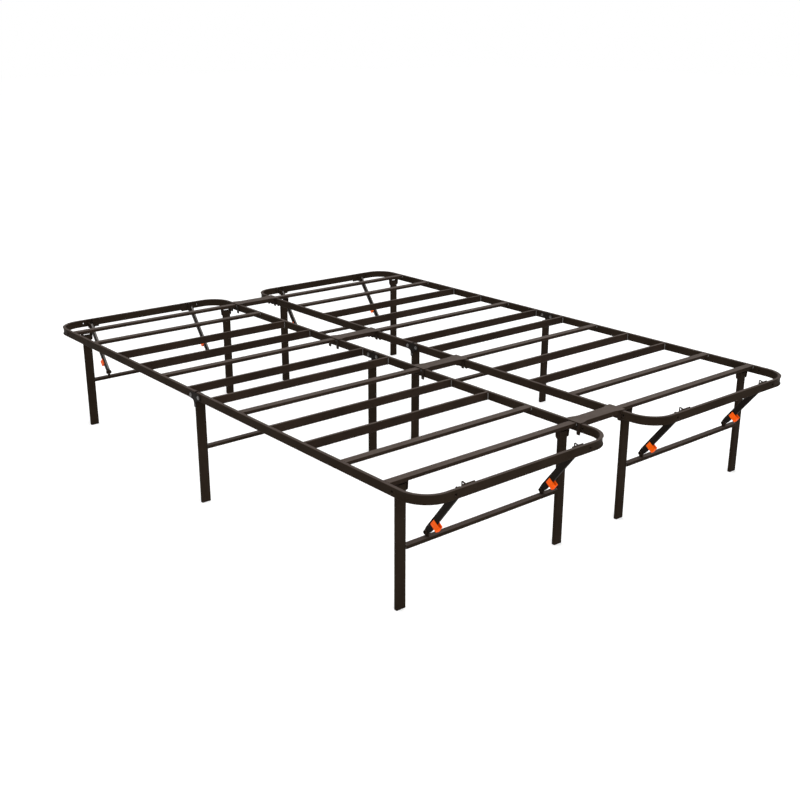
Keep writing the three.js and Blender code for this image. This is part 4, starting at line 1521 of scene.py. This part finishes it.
@dataclass
class Braces:
    """Channel braces from the end rail to the crossbar bolt, each with a sliding plastic clip.

    Both are built with the brace's length along +X from its top pin, the clip's web towards +Z.
    """

    layout: Layout
    deep: float = 19.4
    wall: float = 1.5
    corner: float = 2.2
    top_over: float = 8.0
    tip_over: float = 7.0
    taper_long: float = 16.0
    slot_half: float = 4.3
    eye_radius: float = 3.3
    end_round: float = 4.0
    clear: float = 5.0
    short_clear: float = 3.0
    # Height of the normal below which a channel face takes the painted highlight coat.
    highlight_below: float = -0.9
    clip_long: float = 19.4
    clip_wall: float = 2.2
    clip_drop: float = 11.8
    clip_lip: float = 3.7
    clip_above: float = 44.8
    clip_round: float = 2.4
    bore_round: float = 1.4
    seam_gap: float = 0.5
    notch_wide: float = 5.0
    notch_long: float = 9.0
    rib_count: int = 4
    rib_from_end: float = 2.2
    rib_pitch: float = 2.6
    rib_wide: float = 1.4
    rib_tall: float = 1.6
    rib_round: float = 0.6

    def channel(self) -> Skin:
        """Channel open towards +Y, with an eye at its top and an open slot in its narrow round tip."""
        lay = self.layout
        half = self.deep / 2
        span = lay.brace_span
        wide = lay.brace_wide
        low = -self.top_over - self.clear
        high = span + self.tip_over + self.clear
        section = rounded_box(wide + 2 * self.corner, self.deep, self.corner, 5) + [self.corner, 0]
        skin = straight(section, (-self.top_over, 0, 0), (span + self.tip_over, 0, 0), ALONG_Y)
        trough = rounded_box(2 * wide, self.deep - 2 * self.wall, self.corner - 1, 4)
        trough = trough + [wide / 2 + self.wall, 0]
        eye = round_pin((-wide, wide), self.eye_radius, (0, 0), Axis.Y, 24)
        slot = np.concatenate([
            arc((span, 0), self.slot_half, 90, 270, 14),
            [(high, -self.slot_half), (high, self.slot_half)],
        ])
        tools = [
            block((low, wide / 2, -self.deep), (high, 3 * wide, self.deep)),
            slab(trough, low, high, Axis.X),
            eye,
            slab(slot, -wide, wide, Axis.Y),
        ]
        for up in (-1, 1):
            tools.append(self.rounding(-self.top_over, -1, up))
            tools.append(self.taper(half, up))
        return carved(skin, tools)

    def taper(self, half: float, up: int) -> Skin:
        """Tool that narrows one side of the tip and rounds its end about the bolt.

        Args:
            half: Half the brace's depth.
            up: Side of the brace along Z, 1 or -1.

        Returns:
            The tool's skin.
        """
        span = self.layout.brace_span
        clear = self.clear
        tip = self.tip_over
        rise = (half - tip) / self.taper_long
        start = span - self.taper_long - clear
        past = span + tip + clear
        outline = np.concatenate([
            [(start, half + clear * rise)],
            arc((span, 0), tip, 90, 0, 9),
            [(span + tip, -0.5), (past, -0.5), (past, 2 * half), (start, 2 * half)],
        ])
        reach = 2 * self.layout.brace_wide
        return slab(outline * [1, up], -reach, reach, Axis.Y)

    def rounding(self, x: float, out: int, up: int) -> Skin:
        """Tool that rounds one corner of an end, seen from the side.

        Args:
            x: Where the end is along the brace.
            out: Direction past the end, 1 or -1.
            up: Direction of the corner along Z, 1 or -1.

        Returns:
            The tool's skin.
        """
        radius = self.end_round
        half = self.deep / 2
        centre = (x - out * radius, up * (half - radius))
        sweep = np.radians(np.linspace(0, 90, 7))
        curve = np.column_stack([
            centre[0] + out * radius * np.cos(sweep), centre[1] + up * radius * np.sin(sweep),
        ])
        past = (x + out * self.short_clear, up * (half + self.short_clear))
        outline = np.concatenate([curve, [(centre[0], past[1]), past, (past[0], centre[1])]])
        return slab(outline, -self.layout.brace_wide, self.layout.brace_wide, Axis.Y)

    def clip(self) -> Skin:
        """Saddle clip: a U-shaped block with a deep and a shallow wall and a notch in its web."""
        lay = self.layout
        side_in = lay.brace_wide / 2 + lay.slide_gap
        side_out = side_in + self.clip_wall
        web_in = self.deep / 2 + self.clip_drop
        web_out = web_in + self.clip_wall
        lip = self.clip_lip
        clear = self.short_clear
        x = lay.brace_span - self.clip_above
        start = x - self.clip_long / 2
        end = x + self.clip_long / 2
        section = rounded_box(2 * side_out, web_out + lip, self.clip_round, 5)
        section = section + [0, (web_out - lip) / 2]
        skin = straight(section, (start, 0, 0), (end, 0, 0), ALONG_Y)
        bore = rounded_box(2 * side_in, 2 * (web_in + lip), self.bore_round, 4) + [0, -lip]
        tools = [
            slab(bore, start - clear, end + clear, Axis.X),
            block((start - clear, self.seam_gap, -lip - clear), (end + clear, side_out + clear, 0)),
            self.notch(start, web_out),
        ]
        return carved(skin, tools)

    def notch(self, start: float, web_out: float) -> Skin:
        """Tool for the round-ended notch in the clip's web."""
        half = self.notch_wide / 2
        end = start + self.notch_long
        before = start - self.short_clear
        outline = np.concatenate([
            [(before, -half)], arc((end - half, 0), half, -90, 90, 12), [(before, half)],
        ])
        return slab(outline, 0.0, web_out + self.short_clear, Axis.Z)

    def ribs(self) -> list[Skin]:
        """Grip ribs across the clip's web, below the notch."""
        lay = self.layout
        web_out = self.deep / 2 + self.clip_drop + self.clip_wall
        end = lay.brace_span - self.clip_above + self.clip_long / 2
        reach = lay.brace_wide / 2
        section = rounded_box(self.rib_wide, self.rib_tall, self.rib_round, 3)
        skins = []
        for index in range(self.rib_count):
            x = end - self.rib_from_end - self.rib_pitch * index
            skins.append(straight(section, (x, -reach, web_out), (x, reach, web_out), ALONG_X))
        return skins

    def build(self) -> None:
        """Makes the eight braces and clips and sets them in place."""
        lay = self.layout
        channel = shaped([self.channel()], "channel", 0.3)
        clip = shaped([self.clip(), *self.ribs()], "clip", 0.5)
        # Channel faces that look down in the brace's own frame carry a painted highlight.
        highlighted_faces = np.array([face.normal.z < self.highlight_below for face in channel.polygons], dtype=np.int32)
        pin_x, pin_z = lay.brace_pin
        for end in End:
            for unit in Unit:
                for which in (-1, 1):
                    place = "outer" if which * end.value == unit.value else "inner"
                    tag = f"{unit.tag}_{end.tag}_{place}"
                    local = Matrix.Translation((pin_x, lay.brace_y(which), pin_z))
                    where = lay.at_end(end, unit) @ local @ Matrix.Rotation(lay.brace_turn, 4, "Y")
                    solid = f"brace_{tag}"
                    brace = placed(channel, f"channel_brace_{tag}", where, Finish.DARK, solid, [solid])
                    brace.data.materials.append(Finish.WORN.material)
                    brace.data.polygons.foreach_set("material_index", highlighted_faces)
                    solid = f"clip_{tag}"
                    placed(clip, f"slide_clip_{tag}", where, Finish.CLIP, solid, [solid])


# ---------------------------------------------------------------- cross connectors


@dataclass
class Connectors:
    """Inverted channels across the gap between the units, hooked over both inner rails."""

    layout: Layout
    plate: float = 2.5
    wide: float = 46.0
    flare: float = 56.0
    flare_long: float = 20.0
    side_tall: float = 14.8
    end_spread: float = 0.4
    bend: float = 3.0
    finger_wide: float = 12.0
    finger_from_middle: float = 22.0
    finger_tip: float = 9.0
    finger_below: float = 8.0
    finger_straight: float = 4.5
    skirt_below: float = 4.5

    def channel(self) -> Skin:
        """Channel with rounded folds, closed in by the plate thickness all round.

        Its half width is the plain one in the middle and runs straight out to the flare at both ends.

        Returns:
            The channel's skin.
        """
        lay = self.layout
        low = lay.deck + lay.touch_gap
        top = low + self.plate
        bottom = top - self.side_tall
        reach = lay.unit_gap / 2 - lay.touch_gap
        start = lay.unit_gap / 2 - self.flare_long
        ys = np.array([-reach, -start, start, reach])
        loops = []
        for y in ys:
            half = self.wide / 2 if abs(y) < reach else self.wide / 2 + self.end_spread
            outer = np.concatenate([
                [(half, bottom)],
                arc((half - self.bend, top - self.bend), self.bend, 0, 90, 6),
                arc((self.bend - half, top - self.bend), self.bend, 90, 180, 6),
                [(-half, bottom)],
            ])
            thin = half - self.plate
            small = self.bend - self.plate + lay.touch_gap
            inner = np.concatenate([
                [(-thin, bottom)],
                arc((small - thin, low - small), small, 180, 90, 6),
                arc((thin - small, low - small), small, 90, 0, 6),
                [(thin, bottom)],
            ])
            flat = np.concatenate([outer, inner])
            loops.append(np.column_stack([flat[:, 0], np.full(len(flat), y), flat[:, 1]]))
        return skin_of(np.array(loops))

    def hook_plate(self, side: int) -> Skin:
        """Flared end of the top plate, over the rail."""
        lay = self.layout
        low = lay.deck + lay.touch_gap
        start = lay.unit_gap / 2 - self.flare_long
        mid = lay.unit_gap / 2
        end = mid + lay.rail_thick + lay.touch_gap + self.plate
        half = self.wide / 2
        flare = self.flare / 2
        outline = np.array([
            (-half + 1, start - 6), (half - 1, start - 6), (half - 1, start), (flare, mid - 1), (flare, end),
            (-flare, end), (-flare, mid - 1), (-half + 1, start),
        ])
        return slab(outline * [1, side], low, low + self.plate, Axis.Z)

    def fingers(self, side: int) -> list[Skin]:
        """Skirt with two tips on the gap side of a rail and two fingers on its other side."""
        lay = self.layout
        low = lay.deck + lay.touch_gap
        tip_z = lay.rail_low - self.finger_below
        knee_z = lay.rail_low - self.finger_straight
        hem_z = lay.rail_low - self.skirt_below
        middle = self.finger_from_middle
        out_x = middle + self.finger_wide / 2
        neck = middle - self.finger_wide / 2
        reach = middle + self.finger_tip / 2
        near = middle - self.finger_tip / 2
        skirt = [
            (-out_x, low + 0.5), (-out_x, lay.rail_low), (-reach, hem_z), (-near, hem_z),
            (-neck, lay.rail_low), (neck, lay.rail_low), (near, hem_z), (reach, hem_z),
            (out_x, lay.rail_low), (out_x, low + 0.5),
        ]
        gap_y = lay.unit_gap / 2 - lay.touch_gap
        inner_y = lay.unit_gap / 2 + lay.rail_thick + lay.touch_gap
        skins = [slab(skirt, side * gap_y, side * (gap_y - self.plate), Axis.Y)]
        for x in (-middle, middle):
            half = self.finger_wide / 2
            tip = self.finger_tip / 2
            finger = [
                (x - half, low + 1), (x - half, knee_z), (x - tip, tip_z), (x + tip, tip_z),
                (x + half, knee_z), (x + half, low + 1),
            ]
            skins.append(slab(finger, side * inner_y, side * (inner_y + self.plate), Axis.Y))
        return skins

    def build(self) -> None:
        """Makes the four connectors and sets them in place."""
        lay = self.layout
        hooks = []
        for side in (-1, 1):
            hooks += [self.hook_plate(side), *self.fingers(side)]
        mesh = shaped([carved(self.channel(), hooks, Way.ON)], "connector", 0.0)
        for end in End:
            for name, x in (("end", lay.end_slat), ("middle", lay.inner_connector)):
                tag = f"{end.tag}_{name}"
                placed(
                    mesh, f"cross_connector_{tag}", lay.at_end(end, None, x), Finish.SLAT,
                    f"{end.tag}_deck", [f"connector_{tag}"],
                )


# ---------------------------------------------------------------- studio


@dataclass(frozen=True)
class Lamp:
    """Square soft lamp that looks at a point. Lengths are in metres, the power is in watts."""

    name: str
    place: tuple[float, float, float]
    aim: tuple[float, float, float]
    size: float
    power: float

    def build(self) -> None:
        """Makes the lamp and turns it to its point."""
        data = bpy.data.lights.new(self.name, "AREA")
        data.size = self.size
        data.energy = self.power
        lamp = bpy.data.objects.new(self.name, data)
        lamp.location = self.place
        look = Vector(self.aim) - Vector(self.place)
        lamp.rotation_euler = look.to_track_quat("-Z", "Y").to_euler()
        bpy.context.scene.collection.objects.link(lamp)


@dataclass(frozen=True)
class Studio:
    """Pale floor, soft lamps, white surroundings and the camera. Lengths are in metres."""

    floor_size: float = 60.0
    eye: tuple[float, float, float] = (2.7259, -2.2539, 1.3689)
    heading: float = 50.18
    down: float = 18.74
    roll: float = 0.14
    lens: float = 49.08
    sensor: float = 36.0
    floor_tone: float = 0.86
    fill: float = 0.3
    sky: float = 0.82
    lamps: tuple[Lamp, ...] = (
        Lamp("overhead", place=(0.4, -0.2, 3.4), aim=(0, 0, 0.2), size=2.6, power=50),
        Lamp("back_window", place=(-2.3, 3.3, 2.7), aim=(0, 0, 0.3), size=1.7, power=12),
        Lamp("front_soft", place=(3.8, -1.6, 2.2), aim=(0, 0, 0.3), size=1.8, power=40),
    )

    def floor(self) -> None:
        """Wide pale floor that keeps the shadow and looks white where no shadow falls."""
        half = self.floor_size / 2
        mesh = bpy.data.meshes.new("floor")
        corners = [(-half, -half, 0), (half, -half, 0), (half, half, 0), (-half, half, 0)]
        mesh.from_pydata(corners, [], [(0, 1, 2, 3)])
        floor = worn(mesh, "floor")
        material = bpy.data.materials.new("pale_floor")
        material.use_nodes = True
        tree = material.node_tree
        tree.nodes.clear()
        matt = tree.nodes.new("ShaderNodeBsdfDiffuse")
        matt.inputs["Color"].default_value = (self.floor_tone, self.floor_tone, self.floor_tone, 1)
        glow = tree.nodes.new("ShaderNodeEmission")
        seen = self.seen(tree)
        lift = tree.nodes.new("ShaderNodeMath")
        lift.operation = "MULTIPLY"
        lift.inputs[1].default_value = self.fill
        tree.links.new(seen, lift.inputs[0])
        tree.links.new(lift.outputs[0], glow.inputs["Strength"])
        both = tree.nodes.new("ShaderNodeAddShader")
        out = tree.nodes.new("ShaderNodeOutputMaterial")
        tree.links.new(matt.outputs[0], both.inputs[0])
        tree.links.new(glow.outputs[0], both.inputs[1])
        tree.links.new(both.outputs[0], out.inputs["Surface"])
        mesh.materials.append(material)

    @staticmethod
    def seen(tree: bpy.types.NodeTree) -> bpy.types.NodeSocket:
        """Socket that is one for rays straight from the camera, mirrored rays and rays through glass."""
        path = tree.nodes.new("ShaderNodeLightPath")
        first = tree.nodes.new("ShaderNodeMath")
        first.operation = "MAXIMUM"
        tree.links.new(path.outputs["Is Camera Ray"], first.inputs[0])
        tree.links.new(path.outputs["Is Glossy Ray"], first.inputs[1])
        second = tree.nodes.new("ShaderNodeMath")
        second.operation = "MAXIMUM"
        tree.links.new(first.outputs[0], second.inputs[0])
        tree.links.new(path.outputs["Is Transmission Ray"], second.inputs[1])
        return second.outputs[0]

    def world(self) -> None:
        """White surroundings for what is seen, and a softer level for what lights the object."""
        world = bpy.data.worlds.new("studio")
        world.use_nodes = True
        tree = world.node_tree
        sky = tree.nodes["Background"]
        sky.inputs["Color"].default_value = (1, 1, 1, 1)
        level = tree.nodes.new("ShaderNodeMapRange")
        level.inputs["To Min"].default_value = self.sky
        level.inputs["To Max"].default_value = 1.0
        tree.links.new(self.seen(tree), level.inputs["Value"])
        tree.links.new(level.outputs["Result"], sky.inputs["Strength"])
        bpy.context.scene.world = world

    def camera(self) -> None:
        """Camera turned by its heading, tipped down and rolled a little."""
        azimuth = math.radians(self.heading)
        tip = math.radians(self.down)
        roll = math.radians(self.roll)
        look = Vector((-math.sin(azimuth) * math.cos(tip), math.cos(azimuth) * math.cos(tip), -math.sin(tip)))
        side = Vector((math.cos(azimuth), math.sin(azimuth), 0))
        up = side.cross(look)
        right = side * math.cos(roll) + up * math.sin(roll)
        top = right.cross(look)
        matrix = Matrix((right, top, -look)).transposed().to_4x4()
        matrix.translation = self.eye
        data = bpy.data.cameras.new("camera")
        data.lens = self.lens
        data.sensor_width = self.sensor
        camera = bpy.data.objects.new("camera", data)
        camera.matrix_world = matrix
        bpy.context.scene.collection.objects.link(camera)
        bpy.context.scene.camera = camera

    def build(self) -> None:
        """Sets up the floor, the surroundings, the lamps and the camera."""
        self.floor()
        self.world()
        for lamp in self.lamps:
            lamp.build()
        self.camera()
        bpy.context.scene.view_settings.view_transform = "Standard"


# ---------------------------------------------------------------- main


def main() -> None:
    """Loads the solid parts, dresses every one of them and sets up the studio."""
    logging.basicConfig(level=logging.INFO, format="%(name)s %(message)s")
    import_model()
    layout = Layout()
    DeckRail(layout).build()
    Slats(layout).build()
    LegFrames(layout).build()
    HingeSaddles(layout).build()
    Braces(layout).build()
    Connectors(layout).build()
    Studio().build()


if __name__ == "__main__":
    main()
